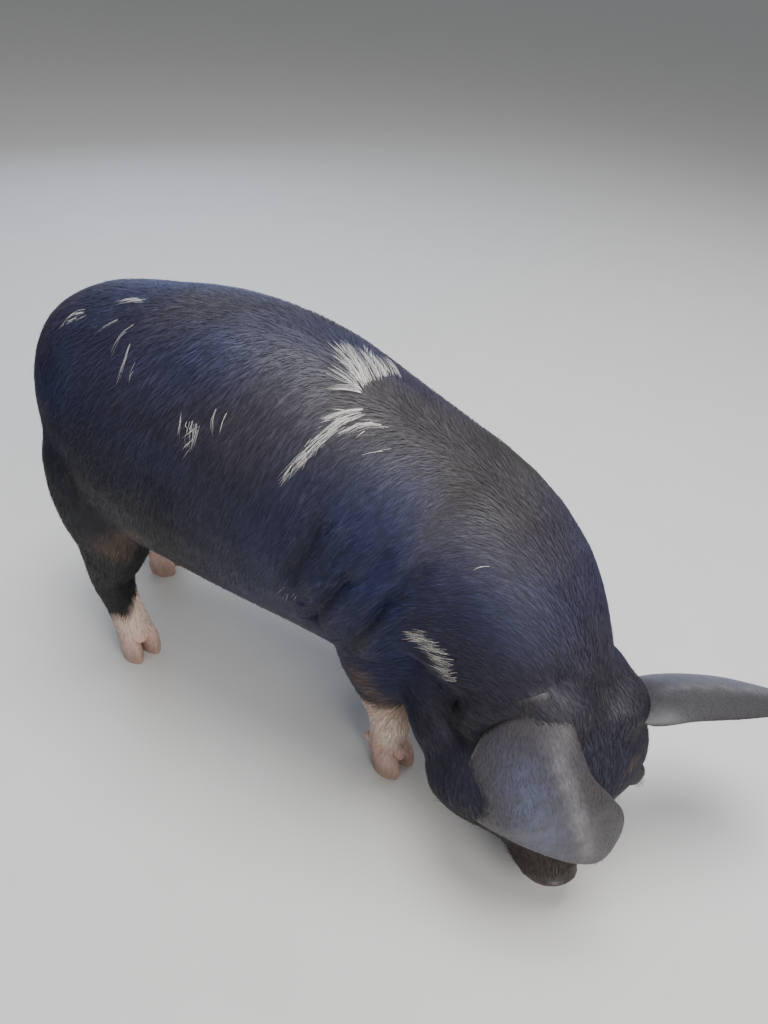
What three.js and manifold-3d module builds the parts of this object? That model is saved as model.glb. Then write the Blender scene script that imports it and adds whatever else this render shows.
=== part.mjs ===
// A young kunekune pig at life size, standing with its back arched and its head down to root.
// Millimetres. +X runs towards the pig's head, +Y to its left side and +Z up. The ground is z = 0.
import * as THREE from "three";
import { mergeVertices } from "three/addons/utils/BufferGeometryUtils.js";
import Module from "manifold-3d";

const wasm = await Module();
wasm.setup();

// Driving dimensions
const BACK_HEIGHT = 562; // ground to the top of the arched back
const TRUNK_LENGTH = 640; // rump to the front of the shoulders
const TRUNK_WIDTH = 312; // across the barrel of the belly
const HEAD_LENGTH = 235; // nape to nose disc
const EAR_LENGTH = 210;
const EYE_RADIUS = 9.5;
const CLAW_LENGTH = 46;
const TASSEL_LENGTH = 46;
const PARTING = 0.3; // the gap that is kept between two nodes

// Where each foot stands
const FEET = {
  fore_right: [214, -58],
  fore_left: [178, 66],
  hind_right: [-200, -84],
  hind_left: [-292, 76],
};
const TOE_OUT = { fore_right: -14, fore_left: 14, hind_right: -16, hind_left: 12 };

// How the head is held
const HEAD_AT = [405, -34, 250]; // the middle of the skull, level with the ears
const HEAD_TURN = -57; // degrees to the left from straight ahead
const HEAD_PITCH = 65; // degrees down from level
const HEAD_ROLL = -26; // degrees, the right side up

const COAT = { color: 0x24242b, roughness: 0.6 };
const PALE_COAT = { color: 0xc59b84, roughness: 0.7 };
const HORN = { color: 0xd0a090, roughness: 0.5 };
const EYE = { color: 0x1a1210, roughness: 0.1 };

const X = new THREE.Vector3(1, 0, 0);
const Y = new THREE.Vector3(0, 1, 0);
const Z = new THREE.Vector3(0, 0, 1);
const vector = (p) => new THREE.Vector3(...p);
const radians = THREE.MathUtils.degToRad;
const smoothCurve = (points) => new THREE.CatmullRomCurve3(points.map(vector), false, "catmullrom", 0.5);

// Turns a closed geometry into a solid with its faces pointing out.
function solid(geometry) {
  geometry.deleteAttribute("normal");
  geometry.deleteAttribute("uv");
  const merged = mergeVertices(geometry, 1e-3);
  const mesh = new wasm.Mesh({
    numProp: 3,
    vertProperties: new Float32Array(merged.attributes.position.array),
    triVerts: new Uint32Array(merged.index.array),
  });
  const made = new wasm.Manifold(mesh);
  if (made.volume() > 0) return made;
  const t = mesh.triVerts;
  for (let i = 0; i < t.length; i += 3) [t[i + 1], t[i + 2]] = [t[i + 2], t[i + 1]];
  return new wasm.Manifold(mesh);
}

// The triangles of a solid as a geometry that a mesh can show.
function geometryOf(made) {
  const mesh = made.getMesh();
  const geometry = new THREE.BufferGeometry();
  geometry.setAttribute("position", new THREE.BufferAttribute(mesh.vertProperties, mesh.numProp));
  geometry.setIndex(new THREE.BufferAttribute(mesh.triVerts, 1));
  return geometry;
}

const largest = (made) => made.decompose().sort((a, b) => b.volume() - a.volume())[0];
const union = (solids) => solids.reduce((a, b) => a.add(b));

// How full a section is near a rounded end: 0 at the very end, 1 from a share of the length on.
function roundedEnd(t, share) {
  const from = Math.min(t, 1 - t) / share;
  return from >= 1 ? 1 : Math.sqrt(1 - (1 - from) ** 2);
}

// How far soft bulges push a point out from the body's surface.
function swelling(point, bulges) {
  let push = 0;
  for (const { at, reach, rise } of bulges) {
    const far = at.reduce((sum, c, k) => sum + ((point.getComponent(k) - c) / reach[k]) ** 2, 0);
    push += rise * Math.exp(-far);
  }
  return push;
}

// The skin of a body laid along stations, each with a centre and its reach to the sides, above and
// below. It is a function of the share t of the length and of the way round, as across and rise.
function skinOf(stations, { above = Z, bulges = [], grow = 0 }) {
  const centres = smoothCurve(stations.map((s) => s.at));
  const reaches = smoothCurve(stations.map((s) => s.reach));
  return (t, across, rise, full = 1) => {
    const reach = reaches.getPoint(t);
    const ahead = centres.getTangent(t);
    const side = new THREE.Vector3().crossVectors(above, ahead).normalize();
    const up = new THREE.Vector3().crossVectors(ahead, side);
    const point = centres.getPoint(t);
    const out = side
      .multiplyScalar(across * (reach.x + grow) * full)
      .addScaledVector(up, rise * ((rise > 0 ? reach.y : reach.z) + grow) * full);
    point.add(out);
    if (full > 0 && bulges.length) point.addScaledVector(out.clone().normalize(), swelling(point, bulges) * full);
    return point;
  };
}

// A closed body with such a skin. It starts as a sphere, whose poles become the two ends and whose
// meridians run along the body.
function loft(stations, { around, along, ends = 0.05, ...rest }) {
  const skin = skinOf(stations, rest);
  const geometry = new THREE.SphereGeometry(1, around, along);
  const place = geometry.getAttribute("position");
  const p = new THREE.Vector3();
  for (let i = 0; i < place.count; i++) {
    p.fromBufferAttribute(place, i);
    const t = Math.acos(THREE.MathUtils.clamp(p.y, -1, 1)) / Math.PI;
    const ring = Math.hypot(p.x, p.z);
    const [across, rise] = ring < 1e-6 ? [0, 0] : [p.z / ring, p.x / ring];
    place.setXYZ(i, ...skin(t, across, rise, roundedEnd(t, ends)));
  }
  return solid(geometry);
}

// A sphere stretched to three half sizes, turned by three directions for its own axes, and placed.
function ellipsoid(at, half, axes = [X, Y, Z], around = 16, along = 12) {
  const geometry = new THREE.SphereGeometry(1, around, along);
  geometry.scale(...half);
  geometry.applyMatrix4(new THREE.Matrix4().makeBasis(...axes));
  geometry.translate(...at);
  return solid(geometry);
}

// A thin slab that parts what it crosses: its middle, the way it faces and its two spans. A thicker
// one may lie wholly before or behind its plane, by a bias of 1 or -1.
function slab(at, facing, spanA, spanB, thick = PARTING, bias = 0) {
  const geometry = new THREE.BoxGeometry(spanA, spanB, thick);
  geometry.translate(0, 0, (bias * thick) / 2);
  const turn = new THREE.Quaternion().setFromUnitVectors(Z, vector(facing).normalize());
  geometry.applyQuaternion(turn).translate(...at);
  return solid(geometry);
}

// Trunk and neck

// One section of the trunk: its place along the trunk, its top and bottom, and its width,
// as shares of the driving sizes, with the height of its widest level between bottom and top.
function trunkSection(along, top, bottom, width, widest) {
  const high = top * BACK_HEIGHT;
  const low = bottom * BACK_HEIGHT;
  const level = low + (high - low) * widest;
  return {
    at: [along * TRUNK_LENGTH, 0, level],
    reach: [(width * TRUNK_WIDTH) / 2, high - level, level - low],
  };
}

const TRUNK = [
  trunkSection(-0.475, 0.81, 0.52, 0.36, 0.5),
  trunkSection(-0.455, 0.865, 0.48, 0.54, 0.5),
  trunkSection(-0.41, 0.925, 0.44, 0.7, 0.5),
  trunkSection(-0.33, 0.97, 0.405, 0.83, 0.5),
  trunkSection(-0.23, 0.995, 0.38, 0.93, 0.48),
  trunkSection(-0.1, 1.01, 0.365, 0.99, 0.46),
  trunkSection(0.04, 0.993, 0.355, 1.0, 0.45),
  trunkSection(0.17, 0.94, 0.355, 0.97, 0.46),
  trunkSection(0.28, 0.89, 0.37, 0.93, 0.47),
  trunkSection(0.38, 0.84, 0.385, 0.86, 0.48),
];

// The neck runs on from the shoulders, down and a little to the right, into the skull.
const NECK = [
  { at: [292, -12, 330], reach: [118, 114, 96] },
  { at: [334, -26, 298], reach: [106, 99, 88] },
  { at: [368, -37, 262], reach: [91, 82, 78] },
  { at: [394, -50, 226], reach: [66, 58, 62] },
  { at: [408, -60, 196], reach: [30, 26, 30] },
];

// The throat: a soft fold that fills the bend between the brisket and the jaw.
const THROAT = [
  { at: [236, -2, 288], reach: [88, 80, 74] },
  { at: [286, -34, 234], reach: [90, 72, 64] },
  { at: [328, -70, 180], reach: [84, 60, 60] },
  { at: [362, -96, 136], reach: [60, 46, 48] },
];

const TRUNK_BULGES = [
  { at: [-190, -150, 330], reach: [105, 90, 120], rise: 8 },
  { at: [-190, 150, 330], reach: [105, 90, 120], rise: 8 },
  { at: [205, -140, 300], reach: [80, 90, 110], rise: 12 },
  { at: [205, 140, 300], reach: [80, 90, 110], rise: 12 },
];

const trunkLoft = (grow) =>
  loft([...TRUNK, ...NECK], { around: 30, along: 27, ends: 0.05, bulges: TRUNK_BULGES, grow });
const throatLoft = (grow) => loft(THROAT, { around: 20, along: 12, ends: 0.3, grow });

// Legs

// A leg's section: place, then its reach to the sides, forwards and backwards.
const legSection = (x, y, z, side, ahead, behind) => ({ at: [x, y, z], reach: [side, ahead, behind] });

function foreLeg([x, y], side) {
  const out = (far) => y + side * far;
  return loft(
    [
      legSection(192, out(0), 380, 36, 60, 62),
      legSection(194, out(18), 310, 48, 70, 70),
      legSection(x - 18, out(27), 240, 42, 60, 60),
      legSection(x - 12, out(24), 185, 33, 40, 42),
      legSection(x - 4, out(14), 138, 29, 32, 32),
      legSection(x, out(8), 98, 27, 28, 27),
      legSection(x - 4, out(3), 64, 24, 24, 25),
      legSection(x - 4, out(0), 42, 26, 26, 28),
      legSection(x + 2, out(0), 22, 25, 26, 26),
      legSection(x + 6, out(0), 12, 18, 20, 18),
    ],
    { around: 14, along: 15, above: X },
  );
}

// The thigh runs from the hip, which both hind legs share, to its own foot.
const HIP_X = -214;

function hindLeg([x, y], side) {
  const out = (far) => y + side * far;
  const between = (share) => THREE.MathUtils.lerp(HIP_X, x, share);
  return loft(
    [
      legSection(between(0), out(-30), 440, 40, 70, 60),
      legSection(between(0.15), out(-4), 360, 58, 92, 74),
      legSection(between(0.5), out(9), 285, 54, 84, 68),
      legSection(between(0.85), out(10), 222, 41, 60, 50),
      legSection(x - 17, out(8), 165, 31, 35, 36),
      legSection(x - 19, out(4), 128, 27, 28, 31),
      legSection(x - 13, out(2), 92, 24, 24, 26),
      legSection(x - 5, out(0), 58, 25, 25, 27),
      legSection(x - 1, out(0), 34, 26, 26, 27),
      legSection(x + 5, out(0), 14, 18, 20, 18),
    ],
    { around: 14, along: 15, above: X },
  );
}

// One main claw: a blunt wedge with a flat sole, long from heel to toe and pointed at the toe.
const CLAW = { halfWidth: 13, heelHeight: 36, toeDrop: 15, taper: 0.35, sole: 0.42, cleft: 3, forward: 7 };

function claw([x, y], inward, turn, grow = 0) {
  const geometry = new THREE.SphereGeometry(1, 10, 6);
  const place = geometry.getAttribute("position");
  const p = new THREE.Vector3();
  for (let i = 0; i < place.count; i++) {
    p.fromBufferAttribute(place, i);
    const toe = Math.max(p.z, 0);
    const across = p.x * (CLAW.halfWidth + grow) * (1 - CLAW.taper * toe * toe);
    const tall = CLAW.heelHeight + grow - CLAW.toeDrop * toe;
    const high = (Math.max(p.y, -CLAW.sole) + CLAW.sole) * tall;
    place.setXYZ(i, p.z * (CLAW_LENGTH / 2 + grow) + CLAW.forward, across, high);
  }
  geometry.translate(0, inward * (CLAW.halfWidth + CLAW.cleft / 2), 0);
  geometry.rotateZ(radians(turn));
  geometry.translate(x, y, 0);
  return solid(geometry);
}

// A dew claw: a small blunt cone behind the pastern, pointing down and back.
const DEW_CLAW = { root: 8, tip: 4.5, length: 20, slant: 40, behind: 26, apart: 14, height: 42 };

function dewClaw([x, y], inward, turn, grow = 0) {
  const { root, tip, length, slant, behind, apart, height } = DEW_CLAW;
  const geometry = new THREE.CylinderGeometry(root + grow, tip + grow, length + 2 * grow, 8, 1);
  geometry.rotateX(radians(90));
  geometry.rotateY(radians(slant));
  geometry.translate(-behind, inward * apart, height);
  geometry.rotateZ(radians(turn));
  geometry.translate(x, y, 0);
  return solid(geometry);
}

// Head. It is built with +X from the skull to the nose, +Y to its left and +Z out of the forehead.
const headPose = new THREE.Matrix4()
  .makeRotationFromEuler(new THREE.Euler(radians(HEAD_ROLL), radians(HEAD_PITCH), radians(HEAD_TURN), "ZYX"))
  .setPosition(...HEAD_AT);
const posed = (made) => made.transform(headPose.elements);

const headSection = (x, z, side, above, below) => ({ at: [x * HEAD_LENGTH, 0, z], reach: [side, above, below] });
const SKULL = [
  headSection(-0.22, -14, 56, 40, 58),
  headSection(-0.1, -14, 82, 64, 80),
  headSection(0.03, -15, 97, 77, 94),
  headSection(0.17, -16, 104, 80, 101),
  headSection(0.32, -18, 105, 82, 101),
  headSection(0.46, -20, 99, 76, 92),
  headSection(0.58, -21, 82, 60, 76),
  headSection(0.7, -19, 62, 44, 58),
  headSection(0.82, -14, 46, 31, 43),
  headSection(0.92, -8, 39, 28, 35),
  headSection(1.0, -4, 36, 27, 30),
];
const HEAD_BULGES = [
  { at: [120, -88, -58], reach: [70, 54, 62], rise: 50 },
  { at: [120, 88, -58], reach: [70, 54, 62], rise: 50 },
  { at: [84, -92, 6], reach: [52, 50, 44], rise: 14 },
  { at: [84, 92, 6], reach: [52, 50, 44], rise: 14 },
];
const skullForm = { ends: 0.035, bulges: HEAD_BULGES };
const skullLoft = (grow) => loft(SKULL, { around: 30, along: 26, ...skullForm, grow });
const skullSkin = skinOf(SKULL, skullForm);

// A point of the head's skin: the share of its length, and degrees up from level on one side.
function onHead(t, degrees, side) {
  return skullSkin(t, side * Math.cos(radians(degrees)), Math.sin(radians(degrees)));
}

// The way the skin faces there.
function facing(t, degrees, side) {
  const step = 0.01;
  const ahead = onHead(t + step, degrees, side).sub(onHead(t - step, degrees, side));
  const upward = onHead(t, degrees + 3, side).sub(onHead(t, degrees - 3, side));
  return new THREE.Vector3().crossVectors(ahead, upward).multiplyScalar(-side).normalize();
}

// Eyes: each ball sits in a socket behind two lids with an almond opening.
const EYE_PLACE = { t: 0.53, degrees: 36, depth: 6 };
const LIDS = { half: [17, 12.5, 10], opening: [9.5, 4.6, 20], openingOut: 12 };

function eyeParts(side) {
  const out = facing(EYE_PLACE.t, EYE_PLACE.degrees, side);
  const skinPoint = onHead(EYE_PLACE.t, EYE_PLACE.degrees, side);
  const centre = skinPoint.addScaledVector(out, -EYE_PLACE.depth);
  const forward = X.clone().addScaledVector(out, -X.dot(out)).normalize();
  const upright = new THREE.Vector3().crossVectors(out, forward);
  const axes = [forward, upright, out];
  return {
    ball: ellipsoid(centre, [EYE_RADIUS, EYE_RADIUS, EYE_RADIUS], axes, 12, 8),
    socket: ellipsoid(centre, Array(3).fill(EYE_RADIUS + PARTING), axes, 12, 8),
    lids: (grow) => ellipsoid(centre, LIDS.half.map((h) => h + grow), axes, 16, 10),
    opening: ellipsoid(centre.clone().addScaledVector(out, LIDS.openingOut), LIDS.opening, axes, 12, 8),
  };
}
const eyes = { right: eyeParts(-1), left: eyeParts(1) };

// Mouth: a line along each side of the snout, turned up at its corner, with a lip above and below.
const MOUTH = [
  [0.955, -42],
  [0.92, -44],
  [0.84, -43],
  [0.76, -39],
  [0.69, -31],
  [0.63, -21],
];

const LIPS = [
  { lift: 6, thick: 4.4 },
  { lift: -7, thick: 3.8 },
];
const LIP_END = 0.55; // of the lip's own thickness

function lip(side, { lift, thick }, grow) {
  const stations = MOUTH.map(([t, degrees], i) => {
    const end = i === 0 || i === MOUTH.length - 1;
    const r = (end ? thick * LIP_END : thick) + grow;
    return { at: onHead(t, degrees + lift, side).toArray(), reach: [r, r, r] };
  });
  return loft(stations, { around: 6, along: 10, above: Y, ends: 0.12 });
}
const lips = (grow) => [-1, 1].flatMap((side) => LIPS.map((size) => lip(side, size, grow)));

// A curved sheet that parts the lower jaw from the head along the mouth and on down the throat. It
// starts ahead of the nose, and ends in steps back and down from the corner of the mouth.
const JAW_SHEET = { ahead: 30, rise: 4, steps: [[-12, -22], [-22, -60], [-26, -160]], halfWidth: 140 };

function jawParting() {
  const line = MOUTH.map(([t, degrees]) => onHead(t, degrees, 1));
  const corner = line.at(-1);
  const route = [
    [HEAD_LENGTH + JAW_SHEET.ahead, line[0].z + JAW_SHEET.rise],
    ...line.map((p) => [p.x, p.z]),
    ...JAW_SHEET.steps.map(([x, z]) => [corner.x + x, corner.z + z]),
  ].map(([x, z]) => new THREE.Vector2(x, z));
  const sideOf = (i, far) => {
    const ahead = route[Math.min(i + 1, route.length - 1)].clone().sub(route[Math.max(i - 1, 0)]).normalize();
    return route[i].clone().add(new THREE.Vector2(-ahead.y, ahead.x).multiplyScalar(far));
  };
  const above = route.map((_, i) => sideOf(i, -PARTING));
  const below = route.map((_, i) => sideOf(i, PARTING)).reverse();
  const geometry = new THREE.ExtrudeGeometry(new THREE.Shape([...above, ...below]), {
    depth: 2 * JAW_SHEET.halfWidth,
    bevelEnabled: false,
  });
  geometry.rotateX(radians(90)).translate(0, JAW_SHEET.halfWidth, 0);
  return solid(geometry);
}

// Nose disc: an oval pad with a raised rim and two oval nostrils.
const NOSE = { half: [8, 35, 29], sunk: 5, low: 3, nostril: [13, 5.5, 8], apart: 13, ahead: 6, high: 1 };
const noseCentre = [HEAD_LENGTH - NOSE.sunk, 0, -NOSE.low];
const noseDisc = ellipsoid(noseCentre, NOSE.half, [X, Y, Z], 16, 8);
const nostrils = [-1, 1].map((side) =>
  ellipsoid([HEAD_LENGTH + NOSE.ahead, side * NOSE.apart, NOSE.high], NOSE.nostril, [X, Y, Z], 12, 8),
);

// Ears. Each is a broad leaf, curled into a cup at its root and flatter towards its rounded tip.
// A row gives the reach from the midrib to the inner and to the outer edge, then the curl in radians
// and how far the midrib bends towards the hollow side, all from root to tip.
const EAR_RIGHT = {
  root: [402, -120, 299],
  tip: [505, -127, 106],
  back: [0.45, -0.72, 0.52],
  mound: { half: [38, 40, 24], along: 10, sunk: 22 },
  rows: [
    [22, 62, 1.35, 2],
    [17, 100, 1.18, -12],
    [17, 124, 0.98, -18],
    [28, 120, 0.8, -18],
    [39, 88, 0.66, -12],
    [38, 58, 0.56, -4],
    [28, 36, 0.5, 6],
  ],
};
const EAR_LEFT = {
  root: [474, -2, 236],
  tip: [612, 110, 226],
  back: [-0.3, 0.2, 0.92],
  mound: { half: [50, 54, 40], along: -4, sunk: 34 },
  rows: [
    [46, 78, 0.9, -6],
    [48, 86, 0.85, -13],
    [50, 90, 0.85, -14],
    [48, 86, 0.75, -10],
    [42, 72, 0.6, -4],
    [31, 50, 0.5, 4],
    [18, 28, 0.4, 13],
  ],
};
const EAR_THICKNESS = { root: 9, tip: 3.4 };
const EAR_ROUNDING = { root: 0.06, tip: 0.24, rim: 0.1 };

// The directions of an ear: from root to tip, out of its back, and across to its outer edge.
function earFrame({ root, tip, back }, side) {
  const ahead = vector(tip).sub(vector(root)).normalize();
  const outward = vector(back).addScaledVector(ahead, -vector(back).dot(ahead)).normalize();
  const outer = new THREE.Vector3().crossVectors(ahead, outward).multiplyScalar(-side);
  return { ahead, outward, outer };
}

function ear(spec, side) {
  const { ahead, outward, outer } = earFrame(spec, side);
  const widths = smoothCurve(spec.rows.map(([inner, outer_]) => [inner, outer_, 0]));
  const bends = smoothCurve(spec.rows.map(([, , curl, bend]) => [curl, bend, 0]));
  const geometry = new THREE.SphereGeometry(1, 22, 18);
  const place = geometry.getAttribute("position");
  const p = new THREE.Vector3();
  for (let i = 0; i < place.count; i++) {
    p.fromBufferAttribute(place, i);
    const t = THREE.MathUtils.clamp((1 - p.y) / 2, 0, 1);
    const ring = Math.hypot(p.x, p.z);
    const [edge, face] = ring < 1e-6 ? [0, 0] : [p.x / ring, p.z / ring];
    const width = widths.getPoint(t);
    const bend = bends.getPoint(t);
    const reach = (edge > 0 ? width.y : width.x) * roundedEnd(t, t < 0.5 ? EAR_ROUNDING.root : EAR_ROUNDING.tip);
    const radius = width.y / bend.x;
    const angle = (edge * reach) / radius;
    const thick = (EAR_THICKNESS.tip + (EAR_THICKNESS.root - EAR_THICKNESS.tip) * (1 - t) ** 2) / 2;
    const off = radius + face * thick * roundedEnd(t, EAR_ROUNDING.rim);
    const out = vector(spec.root)
      .addScaledVector(ahead, t * EAR_LENGTH)
      .addScaledVector(outer, Math.sin(angle) * off)
      .addScaledVector(outward, Math.cos(angle) * off - radius - bend.y);
    place.setXYZ(i, ...out);
  }
  return solid(geometry);
}

// The mound of muscle and gristle that an ear grows from.
function earMound(spec, side, grow = 0) {
  const { ahead, outer } = earFrame(spec, side);
  const { half, along, sunk } = spec.mound;
  const inward = vector(HEAD_AT).sub(vector(spec.root)).normalize();
  const at = vector(spec.root).addScaledVector(ahead, along).addScaledVector(inward, sunk);
  const axes = [ahead, outer, new THREE.Vector3().crossVectors(ahead, outer)];
  return ellipsoid(at, half.map((h) => h + grow), axes, 16, 10);
}
const earMounds = (grow) => [earMound(EAR_RIGHT, -1, grow), earMound(EAR_LEFT, 1, grow)];

// Tassels: the two small wattles that hang from the throat, each a stalk with a fuller end.
function tassel(side) {
  const root = onHead(0.5, -62, side).applyMatrix4(headPose);
  const stations = [
    [8, 6.5],
    [-0.15 * TASSEL_LENGTH, 5.5],
    [-0.4 * TASSEL_LENGTH, 5.2],
    [-0.7 * TASSEL_LENGTH, 6.6],
    [-TASSEL_LENGTH, 6],
  ].map(([down, r]) => ({ at: [root.x, root.y, root.z + down], reach: [r, r, r] }));
  return loft(stations, { around: 8, along: 8, above: X, ends: 0.2 });
}

// Tail: a short tail that hangs from the top of the rump, with a switch of tapered locks.
const TAIL = [
  { at: [-286, 0, 446], reach: [15, 15, 15] },
  { at: [-312, 0, 440], reach: [12.5, 12.5, 12.5] },
  { at: [-332, 6, 416], reach: [9.5, 9.5, 9.5] },
  { at: [-338, 12, 380], reach: [7.5, 7.5, 7.5] },
  { at: [-333, 10, 345], reach: [6, 6, 6] },
  { at: [-327, 3, 315], reach: [4.5, 4.5, 4.5] },
];
// Each lock starts at one of three places, a step lower than the last, and fans out as it hangs.
const SWITCH = {
  locks: 8,
  length: 62,
  thick: 4.2,
  tip: 0.7,
  spread: 15,
  fan: 2.1,
  root: [-333, 10, 350],
  step: [2, -3, -14],
  lean: [6, -7],
};

function tailLock(i) {
  const turn = (i / SWITCH.locks) * 2 * Math.PI;
  const from = i % 3;
  const length = SWITCH.length * (0.8 + 0.1 * ((i * 5) % 4));
  const [x, y, z] = SWITCH.root.map((c, k) => c + SWITCH.step[k] * from);
  const [leanX, leanY] = SWITCH.lean;
  const stations = [0, 0.25, 0.6, 1].map((s) => {
    const out = SWITCH.spread * Math.sin(s * SWITCH.fan) * (0.5 + 0.5 * s);
    const r = SWITCH.thick * (1 - s) + SWITCH.tip;
    return {
      at: [x + Math.cos(turn) * out + leanX * s, y + Math.sin(turn) * out + leanY * s, z - length * s],
      reach: [r, r * 0.6, r * 0.6],
    };
  });
  return loft(stations, { around: 5, along: 5, above: X, ends: 0.2 });
}

// All flesh as one solid, then hollowed for the eyes, nostrils and claws, and parted into nodes
const footNames = Object.keys(FEET);
const footSide = (name) => (name.endsWith("left") ? 1 : -1);
const shins = footNames.map((name) =>
  name.startsWith("fore") ? foreLeg(FEET[name], footSide(name)) : hindLeg(FEET[name], footSide(name)),
);
const feetPieces = footNames.flatMap((name) =>
  [-1, 1].map((inward) => ({
    place: (inward === footSide(name) ? "outer_" : "inner_") + name,
    claw: (grow) => claw(FEET[name], inward, TOE_OUT[name], grow),
    dew: (grow) => dewClaw(FEET[name], inward, TOE_OUT[name], grow),
  })),
);

const headFlesh = union([skullLoft(0), noseDisc, ...lips(0), eyes.right.lids(0), eyes.left.lids(0)]);
const headHollows = union([
  ...nostrils,
  ...Object.values(eyes).flatMap((eye) => [eye.socket, eye.opening]),
  jawParting(),
]);
const head = posed(headFlesh.subtract(headHollows));
const flesh = union([trunkLoft(0), throatLoft(0), ...shins, ...earMounds(0), head]);

const headPoint = (x, y, z) => new THREE.Vector3(x * HEAD_LENGTH, y, z).applyMatrix4(headPose).toArray();
// A thin cut across the head at a place on its axis, from a low to a high level, leaning forwards
// at its lower side by some degrees.
function headCut(x, low, high, wide, lean) {
  const geometry = new THREE.BoxGeometry(PARTING, wide, high - low);
  geometry.translate(0, 0, (low + high) / 2);
  geometry.rotateY(radians(-lean));
  geometry.translate(x, 0, 0);
  return posed(solid(geometry));
}
const snoutLine = onHead(...MOUTH[2], 1);

// The cuts across each leg: place from the foot, ahead, out to its side and up, then the lean to the
// front and to the side, and the spans.
const LEG_CUTS = {
  fore: [
    { at: [-9, 21, 172], lean: [0, 0], spans: [96, 100] },
    { at: [0, 10, 104], lean: [0, 0], spans: [90, 90] },
  ],
  hind: [
    { at: [6, 14, 226], lean: [0, -0.45], spans: [230, 150] },
    { at: [-14, 6, 142], lean: [-0.25, 0], spans: [110, 90] },
  ],
};
const legCuts = footNames.flatMap((name) => {
  const [x, y] = FEET[name];
  const out = footSide(name);
  return LEG_CUTS[name.split("_")[0]].map(({ at, lean, spans }) =>
    slab([x + at[0], y + out * at[1], at[2]], [lean[0], out * lean[1], 1], ...spans),
  );
});

// The cut behind the jowls stops at the neck's own cut, whose block lies behind that plane.
const NECK_CUT = { at: [258, -4, 350], facing: [0.98, -0.05, 0.16], span: 600 };
const behindNeck = slab(NECK_CUT.at, NECK_CUT.facing, NECK_CUT.span, NECK_CUT.span, 0.5 * NECK_CUT.span, -1);

const partings = union([
  slab([-112, 0, 380], [1, 0, 0], 480, 440),
  slab([112, 0, 380], [1, 0, 0], 480, 440),
  slab(NECK_CUT.at, NECK_CUT.facing, NECK_CUT.span, NECK_CUT.span),
  headCut(-0.06 * HEAD_LENGTH, -240, 140, 360, 20).subtract(behindNeck),
  headCut(snoutLine.x, snoutLine.z, 60, 120, 0),
  ...legCuts,
  ...feetPieces.flatMap((piece) => [piece.claw(PARTING), piece.dew(PARTING)]),
]);

// The middle of each piece of flesh, by which it gets its name
const MIDDLES = {
  hindquarters: [-200, 0, 390],
  belly: [0, 0, 380],
  chest: [190, 0, 360],
  neck: [330, -15, 305],
  head: headPoint(0.3, 0, 0),
  snout: headPoint(0.9, 0, 4),
  jaw: headPoint(0.72, 0, -50),
};
for (const name of footNames) {
  const [x, y] = FEET[name];
  MIDDLES["leg_upper_" + name] = [x - 8, y + footSide(name) * 12, name.startsWith("fore") ? 150 : 190];
  MIDDLES["leg_lower_" + name] = [x - 4, y, 70];
}

function nearest(made) {
  const box = made.boundingBox();
  const middle = vector(box.min).add(vector(box.max)).multiplyScalar(0.5);
  const far = ([, at]) => middle.distanceTo(vector(at));
  return Object.entries(MIDDLES).sort((a, b) => far(a) - far(b))[0][0];
}

const nodes = new Map();
for (const piece of flesh.subtract(partings).decompose()) {
  const name = nearest(piece);
  if (!nodes.has(name) || nodes.get(name).volume() < piece.volume()) nodes.set(name, piece);
}

const pig = new THREE.Group();
function add(name, made, look) {
  const mesh = new THREE.Mesh(geometryOf(made), new THREE.MeshStandardMaterial({ metalness: 0, ...look }));
  mesh.name = name;
  pig.add(mesh);
}

const body = union([
  trunkLoft(PARTING),
  throatLoft(PARTING),
  ...earMounds(PARTING),
  posed(union([skullLoft(PARTING), ...lips(2 * PARTING), eyes.right.lids(2 * PARTING)])),
]);
for (const [name, made] of nodes) add(name, made, name.startsWith("leg_lower") ? PALE_COAT : COAT);
add("ear_right", largest(ear(EAR_RIGHT, -1).subtract(body)), COAT);
add("ear_left", largest(ear(EAR_LEFT, 1).subtract(body)), COAT);
add("eye_right", posed(eyes.right.ball), EYE);
add("eye_left", posed(eyes.left.ball), EYE);
add("tassel_right", largest(tassel(-1).subtract(body)), COAT);
add("tassel_left", largest(tassel(1).subtract(body)), COAT);
const tailFlesh = loft(TAIL, { around: 10, along: 16, above: X });
const locks = Array.from({ length: SWITCH.locks }, (_, i) => tailLock(i));
add("tail", largest(union([tailFlesh, ...locks]).subtract(body)), COAT);
for (const piece of feetPieces) {
  add("claw_" + piece.place, piece.claw(0), HORN);
  add("dew_claw_" + piece.place, piece.dew(0), HORN);
}

// The pig stands on the middle of its own outline.
const middle = new THREE.Box3().setFromObject(pig).getCenter(new THREE.Vector3());
for (const mesh of pig.children) mesh.geometry.translate(-middle.x, -middle.y, 0);

export default pig;
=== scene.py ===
"""A young kunekune pig at life size: one skin with its coat, face, ears, feet and tail over the solids."""

import logging
import math
from dataclasses import dataclass
from enum import Enum
from typing import Callable, Sequence

import bpy
import numpy as np
from mathutils import Matrix, Vector
from mathutils.bvhtree import BVHTree


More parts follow.
